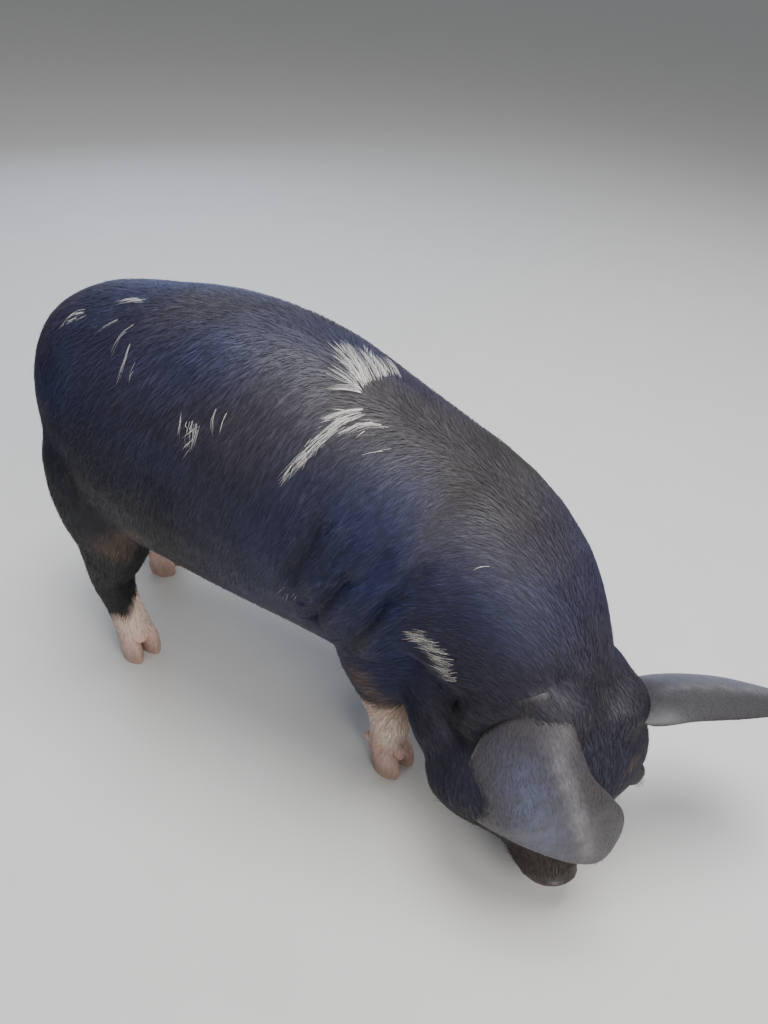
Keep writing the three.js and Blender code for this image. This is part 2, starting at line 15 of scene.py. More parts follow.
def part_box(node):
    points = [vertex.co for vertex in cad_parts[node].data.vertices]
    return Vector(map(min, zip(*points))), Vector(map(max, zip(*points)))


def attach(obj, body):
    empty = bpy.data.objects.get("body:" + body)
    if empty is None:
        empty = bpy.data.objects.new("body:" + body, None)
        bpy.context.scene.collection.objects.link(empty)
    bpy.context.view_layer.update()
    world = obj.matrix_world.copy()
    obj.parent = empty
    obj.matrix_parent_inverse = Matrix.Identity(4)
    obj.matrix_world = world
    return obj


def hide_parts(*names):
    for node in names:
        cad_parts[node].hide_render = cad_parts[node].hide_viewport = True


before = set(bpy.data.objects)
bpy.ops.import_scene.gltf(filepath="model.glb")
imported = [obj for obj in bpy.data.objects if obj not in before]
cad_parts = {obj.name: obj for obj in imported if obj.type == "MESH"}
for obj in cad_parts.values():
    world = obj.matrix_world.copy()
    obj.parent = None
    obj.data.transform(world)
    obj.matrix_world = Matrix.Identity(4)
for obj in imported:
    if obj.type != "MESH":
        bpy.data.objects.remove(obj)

MM = 0.001
SEED = 2026
Array = np.ndarray
Place = tuple[float, float, float]
Row = tuple[float, float, float, float]
Piece = bpy.types.Object
Node = bpy.types.Node

# The drawing that the places below are taken from has the right hind foot's two claws here.
CLAWS_DRAWN = (-193.45 * MM, -85.32 * MM)


def drawing_shift() -> Array:
    """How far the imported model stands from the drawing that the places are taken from.

    Returns:
        The shift in metres.
    """
    corners = [np.array(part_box(f"claw_{side}_hind_right")) for side in ("outer", "inner")]
    middle = np.mean(corners, axis=(0, 1))
    return np.array([middle[0] - CLAWS_DRAWN[0], middle[1] - CLAWS_DRAWN[1], 0.0])


SHIFT = drawing_shift()


def spot(x: float, y: float, z: float) -> Array:
    """A place of the drawing, given in millimetres, in the frame's metres."""
    return np.array([x, y, z], float) * MM + SHIFT


def spots(rows: Sequence[Sequence[float]]) -> Array:
    """Places of the drawing, given in millimetres, in the frame's metres."""
    return np.array([spot(*row[:3]) for row in rows])


def unit(v: Array) -> Array:
    """Vectors brought to length one."""
    return v / np.maximum(np.linalg.norm(v, axis=-1, keepdims=True), 1e-9)


def dot(a: Array, b: Array) -> Array:
    """The dot product of rows of vectors, kept as a column."""
    return np.sum(a * b, axis=-1, keepdims=True)


def ease(low: float, high: float, value: Array) -> Array:
    """A smooth step from 0 at low to 1 at high."""
    t = np.clip((value - low) / (high - low), 0.0, 1.0)
    return t * t * (3.0 - 2.0 * t)


def mix(a: Array, b: Array, share: Array) -> Array:
    """A blend of a and b by a share from 0 to 1."""
    return a * (1.0 - share) + b * share


def bump_at(value: Array, middle: float, wide: float) -> Array:
    """A soft bump of height 1 about a middle."""
    return np.exp(-(((value - middle) / wide) ** 2))


def nearest_on_line(points: Array, line: Array) -> tuple[Array, Array]:
    """The nearest place of a line of straight parts to each point.

    Args:
        points: the points, one a row.
        line: the corners of the line.

    Returns:
        The distance of each point, and its share of the way along the line.
    """
    best = np.full(len(points), 1e9)
    share = np.zeros(len(points))
    lengths = np.linalg.norm(np.diff(line, axis=0), axis=1)
    before = np.concatenate([[0.0], np.cumsum(lengths)])
    for i, length in enumerate(lengths):
        part = line[i + 1] - line[i]
        t = np.clip((points - line[i]) @ part / length**2, 0.0, 1.0)
        far = np.linalg.norm(points - line[i] - t[:, None] * part, axis=1)
        closer = far < best
        best[closer] = far[closer]
        share[closer] = (before[i] + t[closer] * length) / before[-1]
    return best, share


def slow_waves(points: Array, size: float, seed: int) -> Array:
    """A soft pattern that changes over a given size.

    Args:
        points: where it is read.
        size: how wide its patches are, in metres.
        seed: which of the patterns it is.

    Returns:
        Values from about -1 to 1.
    """
    rng = np.random.default_rng(seed)
    total = np.zeros(len(points))
    for _ in range(7):
        way = unit(rng.normal(size=3)) * (2.0 * math.pi / size) * rng.uniform(0.6, 1.5)
        total += np.sin(points @ way + rng.uniform(0.0, 2.0 * math.pi))
    return total / 3.7


# Regions of the body


class Region(Enum):
    """A region of the body, named as its solids are."""

    RUMP = "hindquarters"
    BARREL = "belly"
    SHOULDER = "chest"
    NECK = "neck"
    HEAD = "head"
    SNOUT = "snout"
    JAW = "jaw"
    EAR = "ear"
    UPPER_LEG = "leg_upper"
    LOWER_LEG = "leg_lower"
    TASSEL = "tassel"
    TAIL = "tail"


@dataclass(frozen=True)
class Growth:
    """How the coat grows on one region, in millimetres, and how much its skin is smoothed."""

    depth: float
    length: float
    width: float
    lift: float
    soften: float
    crowd: float = 1.0


GROWTHS = {
    Region.RUMP: Growth(depth=3.2, length=18, width=0.62, lift=2.1, soften=1.0),
    Region.BARREL: Growth(depth=3.2, length=18, width=0.62, lift=2.1, soften=1.0),
    Region.SHOULDER: Growth(depth=3.2, length=18, width=0.62, lift=2.1, soften=1.0),
    Region.NECK: Growth(depth=3.2, length=17, width=0.62, lift=2.2, soften=0.8, crowd=1.1),
    Region.HEAD: Growth(depth=2.8, length=12, width=0.65, lift=2.1, soften=0.5, crowd=1.5),
    Region.SNOUT: Growth(depth=1.4, length=7, width=0.5, lift=1.9, soften=0.06, crowd=1.7),
    Region.JAW: Growth(depth=2.4, length=15, width=0.8, lift=3.2, soften=0.06, crowd=1.5),
    Region.EAR: Growth(depth=0.4, length=6, width=0.45, lift=0.35, soften=0.05, crowd=1.6),
    Region.UPPER_LEG: Growth(depth=3.6, length=18, width=1.3, lift=3.4, soften=0.6),
    Region.LOWER_LEG: Growth(depth=1.6, length=10, width=0.9, lift=1.6, soften=0.14, crowd=1.5),
    Region.TASSEL: Growth(depth=0.5, length=7, width=0.7, lift=1.6, soften=0.05, crowd=1.4),
    Region.TAIL: Growth(depth=0.5, length=10, width=0.8, lift=1.6, soften=0.05, crowd=1.6),
}
REGIONS = list(Region)


def region_of(name: str) -> Region:
    """The region that a node of flesh belongs to."""
    return next(region for region in REGIONS if name.startswith(region.value))


def is_flesh(name: str) -> bool:
    """Whether a node is flesh, and not a claw or an eye."""
    return not name.startswith(("claw", "dew_claw", "eye"))


FLESH = sorted(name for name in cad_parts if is_flesh(name))

# Axes that the body, the head and the ears lie along

HEAD_AT = spot(405, -34, 250)
HEAD_LENGTH = 235 * MM
NOSEWARD = np.array([0.2302, -0.3544, -0.9063])
FOREHEAD = np.array([0.8113, -0.4444, 0.3798])


def noseward(points: Array) -> Array:
    """How far towards the nose each point lies, as a share of the head's length."""
    return (points - HEAD_AT) @ NOSEWARD / HEAD_LENGTH


@dataclass(frozen=True)
class AxisStation:
    """A place on the body's axis, and how the hair turns there from backwards to downwards."""

    at: Place
    turn: float
    headness: float = 0.0


class BodyAxis:
    """The axis from the rump over the back and the neck to the nose, which the coat follows."""

    STATIONS = (
        AxisStation((-304, 0, 373), 62),
        AxisStation((-211, 0, 392), 60),
        AxisStation((-110, 0, 380), 72),
        AxisStation((0, 0, 362), 80),
        AxisStation((109, 0, 350), 76),
        AxisStation((190, 0, 346), 62),
        AxisStation((250, -3, 336), 46),
        AxisStation((300, -14, 320), 32, 0.15),
        AxisStation((342, -28, 290), 20, 0.5),
        AxisStation((378, -38, 256), 13, 0.9),
        AxisStation((413, -47, 218), 9, 1.0),
        AxisStation((432, -76, 143), 7, 1.0),
        AxisStation((459, -117, 37), 5, 1.0),
    )
    SAMPLES = 72
    BLUR = 45 * MM

    def __init__(self) -> None:
        """Lays evenly spread samples along the axis."""
        corners = spots([station.at for station in self.STATIONS])
        steps = np.linalg.norm(np.diff(corners, axis=0), axis=1)
        along = np.concatenate([[0.0], np.cumsum(steps)])
        self.length = float(along[-1])
        place = np.linspace(0.0, self.length, self.SAMPLES)
        self.points = np.stack([np.interp(place, along, corners[:, k]) for k in range(3)], axis=1)
        self.share = place / self.length
        self.turn = np.radians(np.interp(place, along, [station.turn for station in self.STATIONS]))
        headness = np.interp(place, along, [station.headness for station in self.STATIONS])[:, None]
        self.below = unit(mix(np.array([0.0, 0.0, -1.0]), -FOREHEAD, headness))
        self.forward = unit(np.gradient(self.points, axis=0))

    def weights(self, points: Array) -> Array:
        """How much each sample of the axis counts for each point.

        Args:
            points: places on the skin.

        Returns:
            One row a point, which adds up to 1.
        """
        squares = np.sum(points**2, axis=1)[:, None]
        far = squares - 2.0 * points @ self.points.T + np.sum(self.points**2, axis=1)
        weights = np.exp(-(far - far.min(axis=1, keepdims=True)) / (2.0 * self.BLUR**2))
        return weights / weights.sum(axis=1, keepdims=True)

    def lie(self, points: Array, normals: Array) -> Array:
        """The way the hair lies on the trunk, the neck and the head.

        Args:
            points: places on the skin.
            normals: the way the skin faces there.

        Returns:
            One direction a point, along the skin.
        """
        weights = self.weights(points)
        back = -unit(weights @ self.forward)
        below = weights @ self.below
        below = unit(below - dot(below, back) * back)
        turn = (weights @ self.turn)[:, None]
        back = back - dot(back, normals) * normals
        down = below - dot(below, normals) * normals
        turn = turn * ease(0.0, 0.65, np.linalg.norm(down, axis=1, keepdims=True))
        return unit(np.cos(turn) * unit(back) + np.sin(turn) * unit(down))

    def unwrap(self, points: Array) -> tuple[Array, Array]:
        """The place of each point round the axis.

        Args:
            points: places on the skin.

        Returns:
            The distance along the axis in metres, and the angle round it from below, over the right side.
        """
        weights = self.weights(points)
        along = weights @ self.share * self.length
        out = points - weights @ self.points
        forward = unit(weights @ self.forward)
        below = weights @ self.below
        below = unit(below - dot(below, forward) * forward)
        right = np.cross(below, forward)
        return along, np.arctan2(dot(out, right)[:, 0], dot(out, below)[:, 0])


AXIS = BodyAxis()


def rounded_end(t: Array, share: Array | float) -> Array:
    """A profile that rounds off over a share of its length at both ends."""
    far = np.minimum(np.minimum(t, 1.0 - t) / share, 1.0)
    return np.sqrt(np.maximum(1.0 - (1.0 - far) ** 2, 0.0))


@dataclass(frozen=True)
class EarShape:
    """An ear: where it grows, its ways to the tip, out of its back and to its outer edge, and its leaf.

    A row of the leaf, from root to tip, gives the reach to the inner and to the outer edge, the curl in
    radians, and how far the midrib bends towards the hollow side. A low ridge runs beside the midrib. The
    leaf starts a share of its length behind the root, where it dips into the flesh.
    """

    root: Place
    ahead: Place
    outward: Place
    outer: Place
    rows: tuple[Row, ...]
    mound: Place
    mound_sunk: float
    fillet: tuple[Row, ...]
    behind: float
    round_root: float
    dip: float
    mound_along: float = 10.0
    length: float = 210.0
    half_width: float = 100.0
    root_thick: float = 9.0
    tip_thick: float = 3.4
    hair_depth: float = 0.7
    ridge: float = 3.2
    ridge_at: float = 10.0
    ridge_width: float = 13.0
    blue_at: float = 47.0
    # tone scales the ear's colours; below 1 it is painted shade on that ear.
    tone: float = 1.0
    swells: tuple[Row, ...] = ()

    def share(self, points: Array) -> Array:
        """How far along the ear each point lies, from 0 at the root to 1 at the tip."""
        return (points - spot(*self.root)) @ np.array(self.ahead) / (self.length * MM)

    def across(self, points: Array) -> Array:
        """How far across the ear each point lies, as a share of half its width."""
        return (points - spot(*self.root)) @ np.array(self.outer) / (self.half_width * MM)

    def lie(self, points: Array) -> Array:
        """The way the ear's hair runs: to the tip, spreading to the edges."""
        spread = 0.4 * self.across(points)[:, None]
        return unit(np.array(self.ahead) + spread * np.array(self.outer))

    def measures(self, t: Array) -> tuple[Array, ...]:
        """The reach inwards and outwards, the curl and the bend at shares of the length."""
        line = smooth_line(self.rows, 400)
        return tuple(np.interp(t, np.linspace(0.0, 1.0, 400), column) for column in line.T)

    def whole(self, t: Array) -> Array:
        """Shares of the whole leaf, with the part behind the root."""
        return (t + self.behind) / (1.0 + self.behind)

    def reach(self, t: Array, outside: Array) -> Array:
        """How far the leaf reaches from its midrib, in millimetres, to the inner or the outer edge.

        Args:
            t: shares of the ear's length.
            outside: whether each is on the outer side.

        Returns:
            One reach a place.
        """
        inner, outer, _, _ = self.measures(t)
        whole = self.whole(t)
        round_end = np.where(whole < 0.5, self.round_root, 0.24)
        return np.where(outside, outer, inner) * rounded_end(whole, round_end)

    def arc(self, points: Array) -> Array:
        """How far each point lies from the midrib over the curled leaf, in millimetres, outwards.

        Args:
            points: places on the ear.

        Returns:
            One distance a point.
        """
        _, outer, curl, bend = self.measures(np.clip(self.share(points), 0.0, 1.0))
        radius = outer / curl
        out = (points - spot(*self.root)) / MM
        return radius * np.arctan2(out @ np.array(self.outer), out @ np.array(self.outward) + radius + bend)

    def from_rim(self, points: Array) -> Array:
        """How far each point lies inside the leaf's rim, in millimetres."""
        arc = self.arc(points)
        return self.reach(np.clip(self.share(points), -self.behind, 1.0), arc > 0) - np.abs(arc)

    def leather(self, points: Array) -> Array:
        """The colour of the thinly haired ear.

        Args:
            points: places on the ear.

        Returns:
            One colour a point: a painted bluish sheen beside a painted highlight on the ridge, painted shade
                on the inner side and at the root, with a paler rim.
        """
        t, arc = self.share(points), self.arc(points)
        along = ease(0.02, 0.3, t) * ease(1.02, 0.7, t)
        mottle = 0.8 + 0.3 * slow_waves(points, 0.022, 41)
        # Painted bluish sheen beside the ridge.
        sky_sheen = along * bump_at(arc, self.blue_at, 30.0) * mottle
        colour = mix(self.tone * Tone.EAR, Tone.EAR_BLUE, sky_sheen[:, None])
        # Painted highlight along the ridge.
        ridge = 0.9 * along * bump_at(arc, self.ridge_at, 9.0) * mottle
        colour = mix(colour, self.tone * Tone.EAR_RIDGE, ridge[:, None])
        # Painted shade on the inner side, which is turned from the light, and at the root under the mound.
        painted_ear_shade = np.maximum(ease(2.0, -22.0, arc), ease(0.04, -0.05, t))
        colour = mix(colour, 0.8 * self.tone * Tone.BROWN_BLACK, (0.8 * painted_ear_shade)[:, None])
        rim = self.from_rim(points)
        edge = ease(3.4, 0.4, rim) * ease(-5.0, -2.0, rim) * ease(0.06, 0.2, t)
        return mix(colour, Tone.EAR_RIM, (0.8 * edge * (arc > 0))[:, None])

    def rooted(self) -> list[Piece]:
        """The mound of muscle that the ear grows from, and the fillet of skin behind the leaf's root.

        Returns:
            The mound and the fillet.
        """
        mound = new_ball(40, 24)
        ahead, outer = np.array(self.ahead), np.array(self.outer)
        axes = np.stack([ahead, outer, np.cross(ahead, outer)]) * np.array(self.mound)[:, None] * MM
        root = spot(*self.root)
        at = root + ahead * self.mound_along * MM + unit(HEAD_AT - root) * self.mound_sunk * MM
        set_points(mound, at + corner_points(mound) @ axes)
        edit_mesh(mound, face_outwards)
        line = smooth_line(self.fillet, 30)
        return [mound, swept("ear_fillet", spots(line), line[:, 3] * MM)]

    def leaf(self) -> Piece:
        """The whole ear alone as one finely divided closed leaf.

        Returns:
            The leaf.
        """
        leaf = new_ball(112, 86)
        ball = corner_points(leaf)
        t = np.clip((1.0 - ball[:, 2]) / 2.0, 0.0, 1.0) * (1.0 + self.behind) - self.behind
        ring = np.maximum(np.hypot(ball[:, 0], ball[:, 1]), 1e-9)
        edge, face = ball[:, 0] / ring, ball[:, 1] / ring
        _, outer, curl, bend = self.measures(t)
        radius = outer / curl
        along = edge * self.reach(t, edge > 0)
        taper = (self.root_thick - self.tip_thick) * (1.0 - np.maximum(t, 0.0)) ** 2
        thick = (self.tip_thick + taper) / 2 - self.hair_depth / 2
        crest = self.ridge * bump_at(along, self.ridge_at, self.ridge_width)
        crest = crest * ease(0.04, 0.3, t) * ease(0.98, 0.8, t)
        for share, aside, high, wide in self.swells:
            near = bump_at(t * self.length, share * self.length, wide)
            crest = crest + high * bump_at(along, aside, wide) * near
        off = radius + face * thick * rounded_end(self.whole(t), 0.1) + crest
        high = np.cos(along / radius) * off - radius - bend - self.dip * ease(0.13, -self.behind, t)
        local = np.column_stack([t * self.length, np.sin(along / radius) * off, high]) * MM
        set_points(leaf, spot(*self.root) + local @ np.array([self.ahead, self.outer, self.outward]))
        return leaf


EARS = {
    "ear_right": EarShape(
        root=(402, -120, 299),
        ahead=(0.471, -0.032, -0.882),
        outward=(0.572, -0.750, 0.333),
        outer=(-0.672, -0.661, -0.334),
        rows=(
            (22, 62, 1.35, 2),
            (17, 100, 1.18, -12),
            (17, 124, 0.98, -18),
            (28, 120, 0.80, -18),
            (39, 88, 0.66, -12),
            (38, 58, 0.56, -4),
            (28, 36, 0.50, 6),
        ),
        mound=(32.0, 36.0, 20.0),
        mound_sunk=30.0,
        behind=0.09,
        round_root=0.11,
        dip=10.0,
        fillet=(
            (388, -107, 303, 15),
            (368, -112, 285, 19),
            (340, -113, 264, 26),
            (328, -122, 243, 20),
            (322, -130, 226, 12),
        ),
        swells=((0.55, 74.0, 4.6, 20.0),),
    ),
    "ear_left": EarShape(
        root=(474, -2, 236),
        ahead=(0.775, 0.629, -0.056),
        outward=(-0.182, 0.307, 0.934),
        outer=(-0.605, 0.714, -0.352),
        rows=(
            (46, 78, 0.90, -6),
            (48, 86, 0.85, -13),
            (50, 90, 0.85, -14),
            (48, 86, 0.75, -10),
            (42, 72, 0.60, -4),
            (31, 50, 0.50, 4),
            (18, 28, 0.40, 13),
        ),
        mound=(50.0, 54.0, 40.0),
        mound_along=-4.0,
        mound_sunk=34.0,
        fillet=((470, -41, 226, 16), (484, -32, 230, 10)),
        ridge=2.4,
        ridge_at=-6.0,
        blue_at=34.0,
        # Painted shade: this ear's colours are darkened.
        tone=0.62,
        behind=0.13,
        round_root=0.25,
        dip=5.0,
    ),
}


def nearest_ear(points: Array) -> Array:
    """The number of the ear whose middle each point is nearer to: 0 right and 1 left."""
    middles = [spot(*ear.root) + 0.5 * ear.length * MM * np.array(ear.ahead) for ear in EARS.values()]
    return np.argmin([np.linalg.norm(points - middle, axis=1) for middle in middles], axis=0)


def by_ear(points: Array, ask: Callable[[EarShape], Array]) -> Array:
    """What the ear that is nearer to each point answers.

    Args:
        points: places on or near the ears.
        ask: what is asked of an ear, with one answer a point.

    Returns:
        One answer a point.
    """
    right, left = (ask(ear) for ear in EARS.values())
    to_left = nearest_ear(points) == 1
    return np.where(to_left[:, None] if left.ndim > 1 else to_left, left, right)


# Colours, as shares of light, and the markings of this coat


class Tone:
    """The colours of the coat and the skin."""

    # Black hair with a painted bluish sheen of the sky in it.
    BLUE_BLACK = np.array([0.0125, 0.0185, 0.0780])
    BROWN_BLACK = np.array([0.0400, 0.0335, 0.0365])
    WHITE = np.array([0.74, 0.71, 0.66])
    TAN = np.array([0.26, 0.155, 0.085])
    CREAM = np.array([0.76, 0.57, 0.46])
    PINK = np.array([0.60, 0.36, 0.30])
    EAR = np.array([0.053, 0.047, 0.052])
    # Painted bluish sheen on the ear.
    EAR_BLUE = np.array([0.080, 0.086, 0.140])
    # Painted highlight along the ear's ridge.
    EAR_RIDGE = np.array([0.175, 0.165, 0.175])
    EAR_RIM = np.array([0.20, 0.155, 0.155])
    MUZZLE = np.array([0.030, 0.022, 0.018])
    NOSE = np.array([0.034, 0.026, 0.026])


@dataclass(frozen=True)
class Patch:
    """A patch of other hair along a line: how far it reaches to each side, and how full it is."""

    line: tuple[Place, ...]
    reach: float
    fullness: float = 0.9

    def cover(self, points: Array) -> Array:
        """How full the patch is at each point, from 0 to 1."""
        far, share = nearest_on_line(points, spots(self.line))
        narrow = self.reach * MM * (1.0 - 0.35 * share)
        return self.fullness * ease(1.0, 0.35, far / narrow)


@dataclass(frozen=True)
class Fan:
    """Single white hairs that spread between two lines, each line from its roots to its tips.

    Each hair covers a part of its line and strays from it by some millimetres, and the hairs gather in locks.
    Without a last line they all lie along the first.
    """

    hairs: int
    stray: float
    first: tuple[Place, ...]
    last: tuple[Place, ...] = ()
    part: float = 0.8
    locks: int = 1

    def between(self, samples: int) -> tuple[Array, Array]:
        """Both lines as smooth curves of some samples."""
        return smooth_line(spots(self.first), samples), smooth_line(spots(self.last or self.first), samples)


WHITE_PATCHES = (
    Patch(((124, -14, 526), (106, -8, 535), (90, 0, 543)), 15, 0.3),
    Patch(((126, 8, 527), (112, 20, 532), (102, 28, 535)), 16, 0.3),
    Patch(((128, -54, 512), (118, -76, 505), (109, -96, 493), (99, -118, 468)), 9, 0.45),
    Patch(((152, -44, 507), (128, -72, 504)), 7, 0.25),
    Patch(((264, -131, 336), (280, -130, 324), (292, -129, 310), (298, -128, 298)), 14, 0.6),
    Patch(((-216, -54, 524), (-236, -64, 513)), 7, 0.18),
    Patch(((-148, -30, 550), (-172, -40, 543)), 7, 0.18),
    Patch(((-14, -125, 484), (-7, -134, 465)), 8, 0.2),
    Patch(((111, -153, 347), (137, -153, 350)), 7, 0.22),
)
FAN_LEFT = ((125, -29, 525), (108, -34, 531), (82, -41, 537))
FAN_MIDDLE = ((123, -14, 527), (101, 0, 538), (70, 15, 547))
FAN_RIGHT = ((130, 19, 523), (118, 24, 528), (102, 28, 534))
FAN_FAR = ((138, 34, 516), (126, 42, 519), (110, 50, 521))
SHOULDER_TOP = ((270, -130, 343), (257, -131, 339), (243, -133, 337))
SHOULDER_MIDDLE = ((299, -129, 329), (281, -130, 328), (262, -130, 324))
SHOULDER_LOW = ((307, -129, 296), (295, -127, 291), (280, -123, 287))
WHITE_FANS = (
    Fan(46, 1.1, FAN_LEFT, FAN_MIDDLE, part=0.85, locks=11),
    Fan(56, 1.1, FAN_MIDDLE, FAN_RIGHT, part=0.85, locks=12),
    Fan(26, 1.2, FAN_RIGHT, FAN_FAR, locks=8),
    Fan(10, 0.6,
        ((125, -30, 524), (112, -41, 526), (96, -54, 527)),
        ((125, -28, 524), (114, -31, 528), (98, -44, 530)), part=0.9, locks=3),
    Fan(14, 0.7,
        ((137, -41, 515), (122, -58, 515), (104, -79, 509)),
        ((136, -43, 514), (122, -62, 513), (106, -84, 506)), locks=3),
    Fan(30, 1.5,
        ((136, -45, 514), (123, -65, 511), (111, -88, 499), (102, -106, 484), (87, -128, 458)),
        ((140, -46, 512), (129, -67, 507), (120, -89, 495), (109, -110, 477), (93, -131, 448)),
        part=0.45, locks=5),
    Fan(11, 1.0,
        ((156, -44, 506), (139, -59, 507), (126, -83, 497)),
        ((166, -41, 503), (150, -55, 503), (134, -76, 498)), part=0.7, locks=6),
    Fan(2, 0.2, ((178, -57, 492), (167, -69, 490), (155, -80, 487))),
    Fan(30, 2.4, SHOULDER_TOP, SHOULDER_MIDDLE, part=0.6),
    Fan(48, 2.6, SHOULDER_MIDDLE, SHOULDER_LOW, part=0.55),
    Fan(8, 2.2,
        ((-215, -51, 529), (-231, -57, 521), (-240, -68, 510)),
        ((-221, -59, 523), (-232, -67, 513), (-238, -80, 501)), part=0.7),
    Fan(8, 2.2,
        ((-155, -24, 550), (-168, -32, 546), (-182, -41, 540)),
        ((-146, -32, 550), (-165, -42, 543), (-181, -53, 536)), part=0.7),
    Fan(2, 0.3,
        ((-162, -61, 534), (-171, -72, 525), (-183, -82, 514)),
        ((-160, -62, 534), (-169, -73, 525), (-181, -83, 514))),
    Fan(4, 1.4,
        ((-137, -63, 539), (-143, -78, 527), (-142, -100, 507)),
        ((-133, -67, 537), (-136, -81, 525), (-136, -100, 508)), part=0.7),
    Fan(4, 0.6,
        ((-125, -81, 529), (-122, -97, 514), (-124, -116, 491)),
        ((-124, -90, 521), (-116, -106, 506), (-113, -118, 489))),
    Fan(2, 0.3, ((-107, -99, 515), (-105, -107, 506), (-102, -115, 496))),
    Fan(3, 0.5,
        ((-33, -121, 491), (-28, -127, 480), (-25, -134, 468)),
        ((-30, -121, 491), (-26, -127, 480), (-23, -134, 468))),
    Fan(15, 1.6,
        ((-22, -124, 486), (-19, -129, 475), (-11, -137, 459)),
        ((-7, -120, 492), (-3, -127, 479), (-4, -136, 461)), part=0.65, locks=5),
    Fan(3, 0.5,
        ((5, -111, 503), (7, -119, 492), (12, -127, 478)),
        ((7, -110, 503), (9, -118, 492), (15, -126, 478))),
    Fan(3, 0.5,
        ((18, -110, 503), (18, -116, 496), (19, -125, 480)),
        ((18, -110, 503), (20, -116, 496), (21, -125, 480))),
    Fan(2, 0.2, ((303, -84, 419), (295, -89, 418), (287, -97, 413))),
)
TAN_PATCHES = (
    Patch(((196, -126, 226), (212, -120, 200), (232, -106, 176)), 26, 0.6),
    Patch(((-158, -126, 258), (-130, -138, 282), (-98, -144, 306)), 36, 0.42),
    Patch(((497, -38, 184), (491, -54, 188)), 15, 0.3),
)


class Markings:
    """The colours of the coat, the same for the skin and for the hair that grows from it."""

    def white(self, points: Array) -> Array:
        """How full of white hair each place is."""
        return np.max([patch.cover(points) for patch in WHITE_PATCHES], axis=0)

    def tan(self, points: Array) -> Array:
        """How full of tan hair each place is."""
        return np.max([patch.cover(points) for patch in TAN_PATCHES], axis=0)

    def pale_leg(self, points: Array, normals: Array, shares: dict[Region, Array]) -> Array:
        """How pale the lower legs are: a sock behind, and up to the elbow's bend in front.

        Args:
            points: places on the coat.
            normals: the way the skin faces there.
            shares: how much each region counts.

        Returns:
            One share a point.
        """
        legs = ease(0.25, 0.75, shares[Region.LOWER_LEG] + shares[Region.UPPER_LEG])
        wander = 9 * MM * slow_waves(points, 0.045, 11)
        fore = points[:, 0] > spot(0, 0, 0)[0]
        ahead = np.where(fore, 0.0, 0.04 * np.clip(normals @ np.array([0.8, 0.6, 0.0]), 0.0, 1.0))
        height = points[:, 2] + wander - ahead
        sock = np.where(fore, ease(0.212, 0.15, height), ease(0.088, 0.066, height))
        return legs * sock

    def base(self, points: Array, normals: Array, shares: dict[Region, Array]) -> Array:
        """The colour of the coat without its single marks, with a painted bluish sky sheen and painted shade
        in it.

        Args:
            points: places on the skin.
            normals: the way the skin faces there.
            shares: how much each region counts at each point.

        Returns:
            One colour a point.
        """
        low = points[:, 2]
        # How much painted bluish sky sheen each place has: more low on the body, on the rump and the barrel,
        # less on the neck, the head and the shaded flank.
        sky_sheen = 0.1 + 0.25 * slow_waves(points, 0.16, 3) + 0.6 * ease(0.5, 0.38, low)
        sky_sheen += 0.4 * shares[Region.RUMP] + 0.2 * shares[Region.BARREL] - 0.3 * shares[Region.NECK]
        along = (points - spot(0, 0, 0))[:, 0] / MM
        # Painted shade on the lower flank towards the hind leg, which the light from above leaves dark; the
        # painted sheen is taken away there too.
        flank_shade = ease(0.47, 0.35, low) * ease(80.0, -60.0, along)
        sky_sheen -= 0.35 * shares[Region.HEAD] + 0.5 * flank_shade
        colour = mix(Tone.BROWN_BLACK, Tone.BLUE_BLACK, np.clip(sky_sheen, 0.0, 1.0)[:, None])
        colour = colour * (1.0 + 0.14 * slow_waves(points, 0.05, 4))[:, None]
        # Painted shade in the deep folds of the skin, where the coat parts.
        fold_shade = np.max([crease.closeness(points) for crease in CREASES if crease.depth > 4.5], axis=0)
        colour = colour * (1.0 - 0.5 * fold_shade)[:, None]
        legs = np.clip(shares[Region.UPPER_LEG] + shares[Region.LOWER_LEG], 0.0, 1.0)
        # Painted shade on the legs under the belly, darker towards the bottom.
        colour = mix(colour, 0.5 * Tone.BROWN_BLACK, (0.85 * legs * ease(0.34, 0.24, low))[:, None])
        colour = colour * (1.0 - 0.35 * shares[Region.HEAD])[:, None]
        # Darkens the lower flank: painted shade.
        colour = colour * (1.0 - 0.76 * flank_shade)[:, None]
        ahead = noseward(points)
        face = np.clip(shares[Region.HEAD] + shares[Region.SNOUT] + shares[Region.JAW], 0.0, 1.0)
        muzzle = face * ease(0.35, 0.8, ahead + 0.1 * slow_waves(points, 0.04, 8))
        colour = mix(colour, Tone.MUZZLE, muzzle[:, None])
        # The coat round the ears' roots takes some of the ears' colour, which brings the painted shade at the
        # root into the coat.
        root = np.min([np.linalg.norm(points - spot(*ear.root), axis=1) for ear in EARS.values()], axis=0)
        rooted = 0.3 * ease(44 * MM, 26 * MM, root)
        ears = np.clip(shares[Region.EAR] + shares[Region.TASSEL] + rooted, 0.0, 1.0)
        leather = by_ear(points, lambda ear: ear.leather(points))
        leather = mix(leather, Tone.BROWN_BLACK, np.minimum(shares[Region.TASSEL], 0.5)[:, None])
        colour = mix(colour, leather, ears[:, None])
        pale = self.pale_leg(points, normals, shares)
        pink = ease(0.075, 0.035, low + 0.012 * slow_waves(points, 0.03, 5))
        cream = mix(Tone.CREAM, Tone.PINK, pink[:, None])
        brown = 0.75 * ease(0.11, 0.19, low) * np.clip(0.75 + 0.4 * slow_waves(points, 0.035, 6), 0.0, 1.0)
        cream = mix(cream, Tone.TAN, brown[:, None])
        return mix(colour, cream, pale[:, None])


MARKINGS = Markings()

# Mesh helpers


